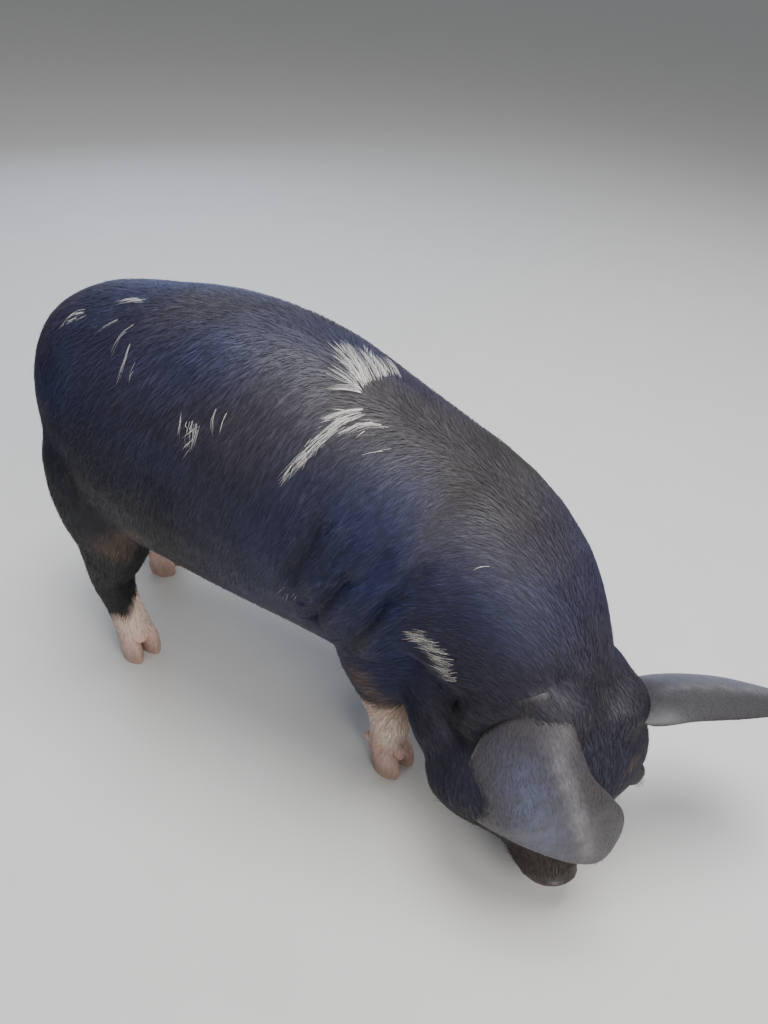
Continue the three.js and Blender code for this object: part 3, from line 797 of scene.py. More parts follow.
def make_mesh(name: str, points: Array, faces: Sequence[Array]) -> Piece:
    """A mesh object from points and faces.

    Args:
        name: the object's name.
        points: the vertices, one a row.
        faces: arrays of faces, each array with one number of corners.

    Returns:
        The new object, smooth shaded, at the origin.
    """
    mesh = bpy.data.meshes.new(name)
    corners = np.concatenate([part.ravel() for part in faces]).astype(np.int32)
    totals = np.concatenate([np.full(len(part), part.shape[1], np.int32) for part in faces])
    starts = np.concatenate([[0], np.cumsum(totals)[:-1]]).astype(np.int32)
    mesh.vertices.add(len(points))
    mesh.vertices.foreach_set("co", np.ascontiguousarray(points, np.float32).ravel())
    mesh.loops.add(len(corners))
    mesh.loops.foreach_set("vertex_index", corners)
    mesh.polygons.add(len(totals))
    mesh.polygons.foreach_set("loop_start", starts)
    mesh.polygons.foreach_set("use_smooth", np.ones(len(totals), bool))
    mesh.update(calc_edges=True)
    mesh.validate()
    made = bpy.data.objects.new(name, mesh)
    bpy.context.scene.collection.objects.link(made)
    return made


def choose(*objects: Piece) -> None:
    """Selects these objects alone, the last of them active.

    Args:
        objects: what is selected.
    """
    bpy.ops.object.select_all(action="DESELECT")
    for piece in objects:
        piece.select_set(True)
    bpy.context.view_layer.objects.active = objects[-1]


def edit_mesh(piece: Piece, *steps: Callable[[], object]) -> None:
    """Runs steps of edit mode over all of a piece.

    Args:
        piece: the piece.
        steps: the operators, in order.
    """
    choose(piece)
    bpy.ops.object.mode_set(mode="EDIT")
    bpy.ops.mesh.select_all(action="SELECT")
    for step in steps:
        step()
    bpy.ops.object.mode_set(mode="OBJECT")


def face_outwards() -> None:
    """Turns the selected faces outwards, in edit mode."""
    bpy.ops.mesh.normals_make_consistent(inside=False)


def new_ball(around: int, rings: int) -> Piece:
    """A new ball of radius 1 at the origin, from which a piece is shaped."""
    bpy.ops.object.select_all(action="DESELECT")
    bpy.ops.mesh.primitive_uv_sphere_add(segments=around, ring_count=rings, radius=1.0)
    return bpy.context.view_layer.objects.active


def read(items: Sequence, what: str, wide: int = 3, kind: type = np.float32) -> Array:
    """Values of a mesh's items.

    Args:
        items: the vertices, edges, triangles or corners.
        what: the name of the value.
        wide: how many numbers each item has.
        kind: the numbers' type.

    Returns:
        One row an item.
    """
    flat = np.empty(len(items) * wide, kind)
    items.foreach_get(what, flat)
    return flat.reshape(-1, wide)


def corner_points(piece: Piece) -> Array:
    """The vertices of a piece, one a row."""
    return read(piece.data.vertices, "co").astype(float)


def set_points(piece: Piece, points: Array) -> None:
    """Moves the vertices of a piece to new places."""
    piece.data.vertices.foreach_set("co", np.ascontiguousarray(points, np.float32).ravel())
    piece.data.update()


def point_normals(piece: Piece) -> Array:
    """The way each vertex of a piece faces."""
    return read(piece.data.vertex_normals, "vector").astype(float)


def triangles_of(piece: Piece) -> Array:
    """The triangles of a piece, as rows of vertex numbers."""
    piece.data.calc_loop_triangles()
    return read(piece.data.loop_triangles, "vertices", kind=np.int32)


def paint(piece: Piece, colours: Array) -> None:
    """Keeps one colour a vertex on a piece, under the name tone.

    Args:
        piece: the piece.
        colours: one row a vertex.
    """
    layer = piece.data.color_attributes.new("tone", "FLOAT_COLOR", "POINT")
    full = np.ones((len(colours), 4), np.float32)
    full[:, :3] = colours
    layer.data.foreach_set("color", full.ravel())


def moisten(piece: Piece, wet: Array) -> None:
    """Keeps how moist each vertex of a piece is, under the name wet."""
    layer = piece.data.attributes.new("wet", "FLOAT", "POINT")
    layer.data.foreach_set("value", wet.astype(np.float32))


def dress(
    piece: Piece, finish: bpy.types.Material, nodes: Sequence[str] = ()
) -> Piece:
    """Gives a piece its finish and lets it ride on the body.

    Args:
        piece: the piece.
        finish: its material.
        nodes: the nodes that it stands for, if any.

    Returns:
        The piece.
    """
    piece.data.materials.clear()
    piece.data.materials.append(finish)
    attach(piece, "root")
    if nodes:
        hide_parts(*nodes)
    return piece


def report(*pieces: Piece) -> None:
    """Logs the size of some pieces."""
    for piece in pieces:
        logging.info("%s: %d faces", piece.name, len(piece.data.polygons))


def apply_modifier(piece: Piece, kind: str, **settings: object) -> None:
    """Adds a modifier to a piece and applies it.

    Args:
        piece: the piece.
        kind: the modifier's type.
        settings: the modifier's values.
    """
    choose(piece)
    modifier = piece.modifiers.new(kind.title(), kind)
    for key, value in settings.items():
        setattr(modifier, key, value)
    bpy.ops.object.modifier_apply(modifier=modifier.name)


class Neighbours:
    """The mesh's net of edges, over which values are smoothed."""

    def __init__(self, piece: Piece) -> None:
        """Reads the edges of a piece.

        Args:
            piece: the piece.
        """
        edges = read(piece.data.edges, "vertices", 2, np.int32)
        ends = np.concatenate([edges, edges[:, ::-1]])
        order = np.argsort(ends[:, 0], kind="stable")
        self.other = ends[order, 1]
        self.count = np.bincount(ends[:, 0], minlength=len(piece.data.vertices))
        self.start = np.concatenate([[0], np.cumsum(self.count)[:-1]])

    def smooth(self, values: Array, times: int, share: float = 0.6) -> Array:
        """Values blended with those of their neighbours.

        Args:
            values: one row a vertex.
            times: how often.
            share: how far each blend goes.

        Returns:
            The smoothed values.
        """
        count = np.maximum(self.count, 1).reshape(-1, *[1] * (values.ndim - 1))
        for _ in range(times):
            around = np.add.reduceat(values[self.other], self.start, axis=0) / count
            values = mix(values, around, share)
        return values


def band_faces(rings: int, around: int) -> Array:
    """The faces of four corners between rings of vertices that follow each other.

    Args:
        rings: how many rings there are.
        around: how many vertices each has.

    Returns:
        The corners, one face a row.
    """
    i, j = np.meshgrid(np.arange(rings - 1), np.arange(around), indexing="ij")
    after = (j + 1) % around
    low, high = i * around, (i + 1) * around
    return np.stack([low + j, low + after, high + after, high + j], -1).reshape(-1, 4)


def swept(name: str, points: Array, radii: Array, sides: int = 20) -> Piece:
    """A closed tube along a line, its two ends brought to a point.

    Args:
        name: the object's name.
        points: the middle of each ring.
        radii: the radius of each ring.
        sides: how many sides it has.

    Returns:
        The tube.
    """
    forward = unit(np.gradient(points, axis=0))
    start = np.array([0.0, 1.0, 0.0])
    across = unit(start - dot(start[None], forward) * forward)
    over = np.cross(forward, across)
    turn = np.linspace(0.0, 2.0 * math.pi, sides, endpoint=False)
    ring = np.cos(turn)[None, :, None] * across[:, None] + np.sin(turn)[None, :, None] * over[:, None]
    rings = points[:, None] + radii[:, None, None] * ring
    count = len(points)
    body = np.concatenate([rings.reshape(-1, 3), points[:1], points[-1:]])
    here = np.arange(sides)
    after = (here + 1) % sides
    first = np.stack([np.full(sides, count * sides), after, here], -1)
    last_ring = (count - 1) * sides
    last = np.stack([np.full(sides, count * sides + 1), last_ring + here, last_ring + after], -1)
    return make_mesh(name, body, [band_faces(count, sides), first, last])


def smooth_line(rows: Sequence[Sequence[float]], count: int) -> Array:
    """A smooth curve through rows of numbers.

    Args:
        rows: what the curve passes through.
        count: how many rows come back.

    Returns:
        Evenly spaced rows along the curve.
    """
    given = np.array(rows, float)
    padded = np.concatenate([2 * given[:1] - given[1:2], given, 2 * given[-1:] - given[-2:-1]])
    place = np.linspace(0.0, len(given) - 1 - 1e-9, count)
    i = place.astype(int)
    t = (place - i)[:, None]
    a, b, c, d = padded[i], padded[i + 1], padded[i + 2], padded[i + 3]
    return 0.5 * (2 * b + (c - a) * t + (2 * a - 5 * b + 4 * c - d) * t**2 + (3 * b - 3 * c + d - a) * t**3)


# Finishes


class NodeTree:
    """A material's nodes, made and joined in short calls."""

    def __init__(self, name: str) -> None:
        """Starts a material with one shader.

        Args:
            name: the material's name.
        """
        self.material = bpy.data.materials.new(name)
        self.material.use_nodes = True
        self.tree = self.material.node_tree
        self.shader = self.tree.nodes["Principled BSDF"]

    def add(self, kind: str, **values: object) -> Node:
        """A new node with some of its own settings.

        Args:
            kind: the node's type.
            values: its settings.

        Returns:
            The node.
        """
        made = self.tree.nodes.new(kind)
        for key, value in values.items():
            setattr(made, key, value)
        return made

    def join(self, source: Node, out: str, target: Node, into: str | int) -> None:
        """Joins an output of one node to an input of another."""
        self.tree.links.new(source.outputs[out], target.inputs[into])

    def set(self, **values: object) -> None:
        """Sets the shader's own sockets, whose names are given with _ for each space."""
        for name, value in values.items():
            self.shader.inputs[name.replace("_", " ")].default_value = value

    def place(self) -> Node:
        """The node that gives the place on the object."""
        return self.add("ShaderNodeTexCoord")

    def kept(self, name: str) -> Node:
        """The node that gives what is kept on the piece under a name."""
        return self.add("ShaderNodeAttribute", attribute_name=name)

    def noise(self, scale: float, detail: float = 4.0, stretch: Place = (1, 1, 1)) -> Node:
        """A noise over the object's own place.

        Args:
            scale: how fine it is, per metre.
            detail: how many finer layers it has.
            stretch: how its place is scaled along each axis.

        Returns:
            The noise node.
        """
        turned = self.add("ShaderNodeMapping")
        turned.inputs["Scale"].default_value = stretch
        made = self.add("ShaderNodeTexNoise")
        made.inputs["Scale"].default_value = scale
        made.inputs["Detail"].default_value = detail
        self.join(self.place(), "Object", turned, "Vector")
        self.join(turned, "Vector", made, "Vector")
        return made

    def ramp(self, source: Node, out: str, *stops: tuple[float, Sequence[float]]) -> Node:
        """A colour ramp over one value.

        Args:
            source: the node that gives the value.
            out: the name of its output.
            stops: places from 0 to 1, and the colour at each.

        Returns:
            The ramp.
        """
        made = self.add("ShaderNodeValToRGB")
        while len(made.color_ramp.elements) < len(stops):
            made.color_ramp.elements.new(0.5)
        for element, (place, colour) in zip(made.color_ramp.elements, stops):
            element.position = place
            element.color = (*colour, 1.0)
        self.join(source, out, made, "Fac")
        return made

    def greys(self, noise: Node, first: float, last: float, end: float = 0.7) -> Node:
        """A ramp from one grey to another over the middle of a noise."""
        return self.ramp(noise, "Fac", (0.3, (first,) * 3), (end, (last,) * 3))

    def shaded(self, source: Node, shade: Node, share: float = 1.0) -> None:
        """Gives the shader a colour, darkened by a share of a shade.

        Args:
            source: the colour's node.
            shade: the shade's node.
            share: how much of the shade counts.
        """
        mixed = self.add("ShaderNodeMix", data_type="RGBA", blend_type="MULTIPLY")
        mixed.inputs["Factor"].default_value = share
        self.join(source, "Color", mixed, "A")
        self.join(shade, "Color", mixed, "B")
        self.join(mixed, "Result", self.shader, "Base Color")

    def bump(self, source: Node, out: str, strength: float, distance: float) -> Node:
        """A bump from one value, kept for the shader or for a further bump.

        Args:
            source: the value's node.
            out: its output.
            strength: how strong it is.
            distance: how high, in metres.

        Returns:
            The bump.
        """
        made = self.add("ShaderNodeBump")
        made.inputs["Strength"].default_value = strength
        made.inputs["Distance"].default_value = distance
        self.join(source, out, made, "Height")
        return made


@dataclass(frozen=True)
class HairFinish:
    """Glossy hair: its own colour, with finer light and dark along it."""

    name: str = "hair"
    rough: float = 0.48
    gloss: float = 0.34
    contrast: float = 0.25
    grain: float = 900.0
    sleek: float = 60.0

    def material(self) -> bpy.types.Material:
        """Builds the material.

        Returns:
            The material.
        """
        nodes = NodeTree(self.name)
        grain = nodes.noise(self.grain, 3.0)
        nodes.shaded(nodes.kept("tone"), nodes.greys(grain, 1.0 - self.contrast, 1.0, 0.72))
        sleek = nodes.greys(nodes.noise(self.sleek, 3.0), self.rough - 0.06, self.rough + 0.1)
        nodes.join(sleek, "Color", nodes.shader, "Roughness")
        nodes.set(Specular_IOR_Level=self.gloss)
        nodes.join(nodes.bump(grain, "Fac", 0.15, 0.4 * MM), "Normal", nodes.shader, "Normal")
        return nodes.material


@dataclass(frozen=True)
class SkinFinish:
    """Living skin with pores and fine wrinkles, painted with the coat's markings."""

    name: str = "skin"
    pores: float = 1400.0
    wrinkles: float = 260.0
    depth: float = 0.6 * MM
    mottle: float = 95.0
    dry: float = 0.56
    moist: float = 0.22

    def material(self) -> bpy.types.Material:
        """Builds the material.

        Returns:
            The material.
        """
        nodes = NodeTree(self.name)
        nodes.shaded(nodes.kept("tone"), nodes.greys(nodes.noise(self.mottle, 6.0), 0.72, 1.0))
        rough = nodes.ramp(nodes.kept("wet"), "Fac", (0.0, (self.dry,) * 3), (1.0, (self.moist,) * 3))
        nodes.join(rough, "Color", nodes.shader, "Roughness")
        nodes.set(Specular_IOR_Level=0.45)
        wrinkle = nodes.bump(nodes.noise(self.wrinkles, 5.0, (1.0, 1.0, 0.6)), "Fac", 0.5, self.depth)
        cells = nodes.add("ShaderNodeTexVoronoi", feature="DISTANCE_TO_EDGE")
        cells.inputs["Scale"].default_value = self.pores
        nodes.join(nodes.place(), "Object", cells, "Vector")
        pore = nodes.bump(cells, "Distance", 0.35, 0.5 * self.depth)
        nodes.join(wrinkle, "Normal", pore, "Normal")
        nodes.join(pore, "Normal", nodes.shader, "Normal")
        return nodes.material


@dataclass(frozen=True)
class HornFinish:
    """Claw horn: pale and waxy above, darker and scuffed towards the ground, with growth lines."""

    name: str = "claw_horn"
    root: Place = (0.62, 0.41, 0.35)
    middle: Place = (0.40, 0.26, 0.2)
    toe: Place = (0.42, 0.26, 0.21)
    height: float = 45 * MM
    ring_scale: float = 60.0

    def material(self) -> bpy.types.Material:
        """Builds the material.

        Returns:
            The material.
        """
        nodes = NodeTree(self.name)
        split = nodes.add("ShaderNodeSeparateXYZ")
        nodes.join(nodes.place(), "Object", split, "Vector")
        up = nodes.add("ShaderNodeMapRange")
        up.inputs["From Max"].default_value = self.height
        nodes.join(split, "Z", up, "Value")
        fade = nodes.ramp(up, "Result", (0.0, self.toe), (0.35, self.middle), (1.0, self.root))
        streaks = nodes.noise(420.0, 6.0, (1.0, 1.0, 0.12))
        nodes.shaded(fade, nodes.greys(streaks, 0.62, 1.0, 0.65), 0.8)
        scuffs = nodes.greys(nodes.noise(150.0, 5.0), 0.32, 0.55)
        nodes.join(scuffs, "Color", nodes.shader, "Roughness")
        rings = nodes.add("ShaderNodeTexWave", bands_direction="Z")
        rings.inputs["Scale"].default_value = self.ring_scale
        rings.inputs["Distortion"].default_value = 2.4
        rings.inputs["Detail"].default_value = 2.0
        nodes.join(nodes.place(), "Object", rings, "Vector")
        lines = nodes.bump(rings, "Fac", 0.35, 0.4 * MM)
        grain = nodes.bump(nodes.noise(700.0, 3.0, (1.0, 1.0, 0.2)), "Fac", 0.3, 0.3 * MM)
        nodes.join(lines, "Normal", grain, "Normal")
        nodes.join(grain, "Normal", nodes.shader, "Normal")
        nodes.set(Subsurface_Weight=0.08, Subsurface_Radius=(0.004, 0.002, 0.0012))
        return nodes.material


@dataclass(frozen=True)
class EyeFinish:
    """A wet eye: the painted iris and pupil under a clear gloss."""

    name: str = "eye"
    fibres: float = 1500.0

    def material(self) -> bpy.types.Material:
        """Builds the material.

        Returns:
            The material.
        """
        nodes = NodeTree(self.name)
        fibres = nodes.greys(nodes.noise(self.fibres), 0.55, 1.0)
        nodes.shaded(nodes.kept("tone"), fibres, 0.7)
        nodes.set(Roughness=0.05, Coat_Weight=1.0, Coat_Roughness=0.02)
        return nodes.material


@dataclass(frozen=True)
class FloorFinish:
    """A plain pale floor."""

    name: str = "floor"
    colour: Place = (0.56, 0.545, 0.52)

    def material(self) -> bpy.types.Material:
        """Builds the material.

        Returns:
            The material.
        """
        nodes = NodeTree(self.name)
        darker = tuple(0.97 * part for part in self.colour)
        grain = nodes.ramp(nodes.noise(9.0), "Fac", (0.3, darker), (0.7, self.colour))
        nodes.join(grain, "Color", nodes.shader, "Base Color")
        nodes.set(Roughness=0.8)
        return nodes.material


# The skin


@dataclass(frozen=True)
class Crease:
    """A fold of the skin along a line: its depth and reach, and how far its banks rise."""

    line: tuple[Place, ...]
    depth: float
    reach: float
    bank: float = 0.35

    def closeness(self, points: Array) -> Array:
        """How near each point is to the fold, from 0 far away to 1 in its middle."""
        far, share = nearest_on_line(points, spots(self.line))
        return bump_at(far, 0.0, self.reach * MM) * ease(0.0, 0.16, share) * ease(1.0, 0.84, share)

    def push(self, points: Array) -> Array:
        """How far each point is pushed out, in metres; a crease pushes in.

        Args:
            points: places on the skin.

        Returns:
            One distance a point.
        """
        far, share = nearest_on_line(points, smooth_line(spots(self.line), 24))
        fade = ease(0.0, 0.16, share) * ease(1.0, 0.84, share)
        near = far / (self.reach * MM)
        return fade * self.depth * MM * (self.bank * np.exp(-((near - 1.9) ** 2) * 1.6) - np.exp(-(near**2)))


CREASES = (
    Crease(
        ((188, -141, 400), (176, -149, 375), (166, -153, 358), (148, -152, 320), (140, -146, 292)),
        9.5,
        8.5,
    ),
    Crease(
        ((240, -130, 388), (225, -142, 365), (206, -151, 328), (185, -138, 281), (178, -128, 260)),
        9.5,
        8.5,
    ),
    Crease(((148, -124, 446), (135, -142, 408), (126, -149, 382), (113, -153, 350)), 5.0, 10.0),
    Crease(((176, -126, 432), (163, -142, 403), (150, -150, 370)), 3.0, 8.0),
    Crease(((216, -120, 426), (202, -139, 396), (188, -148, 370)), 3.0, 8.0),
    Crease(((253, -106, 412), (239, -125, 385), (229, -140, 360)), 3.0, 8.0),
    Crease(((268, -136, 330), (262, -138, 292), (268, -132, 256)), 4.0, 8.0),
    Crease(((330, -118, 244), (357, -120, 260), (400, -118, 286)), 1.6, 8.0),
    Crease(((290, -124, 232), (315, -130, 216), (344, -150, 212)), 1.5, 8.0),
    Crease(((284, -118, 262), (306, -120, 244), (326, -122, 226)), -4.0, 9.0),
    Crease(((380, -110, 296), (372, -122, 282), (352, -136, 252)), 2.5, 5.0),
    Crease(((392, -96, 322), (420, -84, 312), (440, -60, 296)), 3.0, 9.0),
    Crease(((190, 142, 392), (172, 152, 362), (150, 152, 322), (138, 146, 292)), 6.0, 8.0),
    Crease(((226, 138, 380), (208, 148, 341), (184, 140, 286)), 5.0, 8.0),
    Crease(((-104, -134, 300), (-112, -140, 268), (-124, -136, 240)), 5.0, 9.0),
    Crease(((-176, 134, 300), (-170, 140, 268), (-168, 136, 240)), 5.0, 9.0),
)
MOUTH_RIGHT = (
    (421, -127, 35),
    (417, -124, 39),
    (404, -118, 51),
    (381, -117, 68),
    (354, -127, 90),
    (333, -148, 115),
)
MOUTH_LEFT = ((451, -81, 25), (447, -77, 29), (439, -64, 39), (432, -39, 51), (434, -5, 62), (449, 29, 75))
MOUTHS = (Crease(MOUTH_RIGHT, 2.6, 2.2, 0.2), Crease(MOUTH_LEFT, 2.6, 2.2, 0.2))


def from_mouth(points: Array) -> Array:
    """How far each point lies from the line of the mouth, in metres."""
    return np.min([nearest_on_line(points, spots(mouth.line))[0] for mouth in MOUTHS], axis=0)


@dataclass(frozen=True)
class EyePlace:
    """Where an eye looks out of the head."""

    name: str
    outward: Place
    radius: float = 9.5 * MM

    @property
    def centre(self) -> Array:
        """The middle of the ball, in the frame's metres."""
        low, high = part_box(self.name)
        return (np.array(low) + np.array(high)) / 2

    @property
    def axes(self) -> tuple[Array, Array, Array]:
        """The ways towards the nose, towards the brow and out of the socket.

        Returns:
            The three directions.
        """
        out = unit(np.array(self.outward))
        forward = unit(NOSEWARD - (NOSEWARD @ out) * out)
        up = np.cross(out, forward)
        return forward, (up if up @ FOREHEAD > 0 else -up), out

    def local(self, points: Array) -> Array:
        """Points as shares of the ball's radius along the eye's own axes."""
        return (points - self.centre) @ np.stack(self.axes, axis=1) / self.radius


EYES = (EyePlace("eye_right", (0.495, -0.859, -0.135)), EyePlace("eye_left", (0.941, -0.175, -0.289)))


class Skin:
    """One skin over all the flesh, which lies inside the solids by the depth of the coat."""

    VOXEL = 2.2 * MM
    ROUGH_VOXEL = 4.0 * MM
    MERGE = 0.02 * MM
    CLOSE_GAPS = 0.45 * MM
    SOFT_LEVELS = 48
    MOST_TRIANGLES = 152_000
    TAIL = (
        (-286, 0, 446, 15.5),
        (-312, 0, 440, 12.5),
        (-332, 6, 416, 9.5),
        (-338, 12, 380, 7.5),
        (-333, 10, 345, 6),
        (-327, 3, 315, 4.5),
    )

    def __init__(self) -> None:
        """Keeps the solids' triangles, by which a place is known."""
        points, faces, owners = [], [], []
        for name in FLESH:
            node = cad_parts[name]
            triangles = triangles_of(node) + sum(len(p) for p in points)
            points.append(corner_points(node))
            faces.append(triangles)
            owners.append(np.full(len(triangles), REGIONS.index(region_of(name))))
        self.solids = BVHTree.FromPolygons(
            np.concatenate(points).tolist(), np.concatenate(faces).tolist(), all_triangles=True
        )
        self.owners = np.concatenate(owners)

    def region_numbers(self, points: Array) -> Array:
        """The number of the region that each point lies nearest to."""
        find = self.solids.find_nearest
        return self.owners[[find(p)[2] for p in points.tolist()]]

    def gathered(self) -> Piece:
        """Copies of the flesh, swollen enough to close their gaps, and the ears' roots, as one object.

        Returns:
            The object.
        """
        parts = []
        for name in FLESH:
            if region_of(name) in (Region.TAIL, Region.EAR):
                continue
            part = bpy.data.objects.new("flesh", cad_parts[name].data.copy())
            bpy.context.scene.collection.objects.link(part)
            part.data.materials.clear()
            edit_mesh(part, lambda: bpy.ops.mesh.remove_doubles(threshold=self.MERGE))
            set_points(part, corner_points(part) + self.CLOSE_GAPS * point_normals(part))
            parts.append(part)
        line = smooth_line(self.TAIL, 40)
        parts.append(swept("tail_flesh", spots(line), line[:, 3] * MM))
        for ear in EARS.values():
            parts.extend(ear.rooted())
        choose(*parts)
        bpy.ops.object.join()
        joined = bpy.context.view_layer.objects.active
        joined.name = joined.data.name = "skin"
        return joined

    def largest(self, piece: Piece) -> Piece:
        """Only the largest closed surface of a piece.

        Args:
            piece: the piece, which is taken apart.

        Returns:
            What is left of it.
        """
        edit_mesh(piece, lambda: bpy.ops.mesh.separate(type="LOOSE"))
        parts = sorted(bpy.context.selected_objects, key=lambda part: len(part.data.vertices))
        for scrap in parts[:-1]:
            bpy.data.objects.remove(scrap)
        parts[-1].name = parts[-1].data.name = "skin"
        return parts[-1]

    def soften(self, piece: Piece) -> None:
        """Smooths the facets of the solids away, most on the trunk and least on the face and ears.

        Args:
            piece: the skin.
        """
        numbers = self.region_numbers(corner_points(piece))
        weights = np.array([GROWTHS[region].soften for region in REGIONS])[numbers]
        weights = Neighbours(piece).smooth(weights, 14)
        group = piece.vertex_groups.new(name="soften")
        levels = np.clip(np.round(weights * self.SOFT_LEVELS), 1, self.SOFT_LEVELS).astype(int)
        for level in np.unique(levels):
            group.add(np.nonzero(levels == level)[0].tolist(), level / self.SOFT_LEVELS, "REPLACE")
        apply_modifier(piece, "SMOOTH", factor=0.5, iterations=130, vertex_group="soften")
        piece.vertex_groups.clear()

    def sculpt(self, piece: Piece) -> None:
        """Draws the skin in by the coat's depth, and adds the folds, the mouth and the eye sockets.

        Args:
            piece: the skin.
        """
        points = corner_points(piece)
        inward = self.measure("depth") * MM
        push = -inward + sum(crease.push(points) for crease in CREASES)
        points = points + push[:, None] * point_normals(piece)
        for mouth in MOUTHS:
            points = points + mouth.push(points)[:, None] * point_normals(piece)
        for eye in EYES:
            x, y, z = eye.local(points).T
            across = np.hypot(x / 1.15, y)
            inside = ease(1.2, 0.85, across) * (np.abs(z - 0.5) < 1.1)
            sunk = inside * np.maximum(z - 0.25, 0.0)
            points = points - sunk[:, None] * eye.radius * eye.axes[2]
        set_points(piece, points)

    def add_ears(self) -> None:
        """Lays the ears' finely divided leaves on the skin, hairy at their roots and leathery beyond."""
        self.body = len(self.piece.data.vertices)
        leaves = [ear.leaf() for ear in EARS.values()]
        choose(*leaves, self.piece)
        bpy.ops.object.join()
        points = corner_points(self.piece)[self.body :]
        along = by_ear(points, lambda ear: ear.share(points))
        leather = ease(-0.16, -0.05, along + 0.02 * slow_waves(points, 0.03, 51))
        shares = np.zeros((len(points), len(REGIONS)))
        shares[:, REGIONS.index(Region.EAR)] = leather
        shares[:, REGIONS.index(Region.HEAD)] = 1.0 - leather
        self.shares = np.concatenate([self.shares, shares])

    def in_order(self, triangles: Array) -> Array:
        """The skin's triangles with those of the ears sorted, as a new ball's faces come in any order.

        Args:
            triangles: three vertices a row.

        Returns:
            The same triangles, in the same order in each run.
        """
        on_ear = triangles[:, 0] >= self.body
        ears = triangles[on_ear]
        first = np.argmin(ears, axis=1)[:, None]
        ears = np.take_along_axis(ears, (first + np.arange(3)) % 3, axis=1)
        return np.concatenate([triangles[~on_ear], ears[np.lexsort(ears.T[::-1])]])

    def measure(self, what: str) -> Array:
        """One of the growth's values at each vertex, blended over the regions' borders."""
        return self.shares @ np.array([getattr(GROWTHS[region], what) for region in REGIONS])

    def region_shares(self) -> dict[Region, Array]:
        """How much each region counts at each vertex."""
        return {region: self.shares[:, i] for i, region in enumerate(REGIONS)}

    def field(self) -> Array:
        """The way the hair lies at each vertex.

        Returns:
            One direction a vertex.
        """
        points, normals = self.points, self.normals
        shares = self.region_shares()
        ways = AXIS.lie(points, normals)
        legs = (shares[Region.LOWER_LEG] + shares[Region.UPPER_LEG])[:, None]
        ways = mix(ways, np.array([-0.25, 0.0, -1.0]), ease(0.3, 0.9, legs))
        hanging = (shares[Region.TASSEL] + shares[Region.TAIL])[:, None]
        ways = mix(ways, np.array([0.0, 0.0, -1.0]), hanging)
        ways = SPREAD.turned(points, ways)
        leaf = points[self.body :]
        ways[self.body :] = by_ear(leaf, lambda ear: ear.lie(leaf))
        ways = Neighbours(self.piece).smooth(unit(ways), 30)
        return unit(ways - dot(ways, normals) * normals)

    def colour(self) -> None:
        """Paints the skin with the coat's markings, and marks where it is moist."""
        shares = self.region_shares()
        colours = MARKINGS.base(self.points, self.normals, shares) * 1.1
        colours = mix(colours, Tone.WHITE * 0.3, (0.4 * MARKINGS.white(self.points))[:, None])
        colours = mix(colours, Tone.TAN, (0.5 * MARKINGS.tan(self.points))[:, None])
        ahead = noseward(self.points)
        disc = ease(0.955, 0.985, ahead) * ease(0.0, 0.4, shares[Region.SNOUT])
        speckle = ease(0.1, 0.8, slow_waves(self.points, 0.012, 21))[:, None]
        nose = mix(Tone.NOSE, Tone.PINK * 0.5, 0.2 * speckle)
        colours = mix(colours, nose, disc[:, None])
        mouth = from_mouth(self.points)
        colours = mix(colours, Tone.PINK * 0.12, (0.7 * ease(3.5 * MM, 1.0 * MM, mouth))[:, None])
        paint(self.piece, colours)
        wet = np.maximum(disc, 0.4 * ease(4.0 * MM, 1.0 * MM, mouth))
        moisten(self.piece, np.maximum(wet, 0.3 * shares[Region.EAR]))

    def build(self) -> Piece:
        """Builds, shapes and paints the skin.

        Returns:
            The skin.
        """
        piece = self.gathered()
        size = self.VOXEL
        apply_modifier(piece, "REMESH", mode="VOXEL", voxel_size=size, adaptivity=0.0)
        piece = self.largest(piece)
        self.soften(piece)
        triangles = len(triangles_of(piece))
        if triangles > self.MOST_TRIANGLES:
            ratio = self.MOST_TRIANGLES / triangles
            apply_modifier(piece, "DECIMATE", ratio=ratio, use_collapse_triangulate=True)
        self.piece = piece
        numbers = self.region_numbers(corner_points(piece))
        numbers[numbers == REGIONS.index(Region.EAR)] = REGIONS.index(Region.HEAD)
        self.shares = Neighbours(piece).smooth(np.eye(len(REGIONS))[numbers], 10)
        self.sculpt(piece)
        self.add_ears()
        choose(piece)
        bpy.ops.object.shade_smooth()
        self.points = corner_points(piece)
        self.normals = point_normals(piece)
        self.triangles = self.in_order(triangles_of(piece))
        self.ways = self.field()
        self.tree = BVHTree.FromPolygons(self.points.tolist(), self.triangles.tolist(), all_triangles=True)
        self.colour()
        return dress(piece, SkinFinish().material(), FLESH)

    def follow(self, points: Array, normals: Array) -> tuple[Array, Array]:
        """The nearest places of the skin to some points.

        Args:
            points: where to look from.
            normals: what is kept where the skin is far away.

        Returns:
            The places and the way the skin faces there.
        """
        places, faces = points.copy(), normals.copy()
        find = self.tree.find_nearest
        for i, point in enumerate(points.tolist()):
            place, face, _, _ = find(point, 0.012)
            if place is not None:
                places[i] = place
                faces[i] = face
        same = dot(faces, normals)[:, 0] > 0.1
        return np.where(same[:, None], places, points), np.where(same[:, None], faces, normals)


@dataclass(frozen=True)
class Spread:
    """A place on the back behind which the hair fans out."""

    at: Place = (166, -20, 505)
    reach: float = 115 * MM
    strength: float = 0.92

    def turned(self, points: Array, ways: Array) -> Array:
        """The ways of the hair, turned away from this place behind it.

        Args:
            points: places on the skin.
            ways: how the hair lies there.

        Returns:
            The new ways.
        """
        out = points - spot(*self.at)
        away = unit(out)
        near = ease(self.reach, 0.5 * self.reach, np.linalg.norm(out, axis=1)) * ease(-0.1, 0.5, -away[:, 0])
        return mix(ways, away, self.strength * near[:, None])


SPREAD = Spread()

# Hair


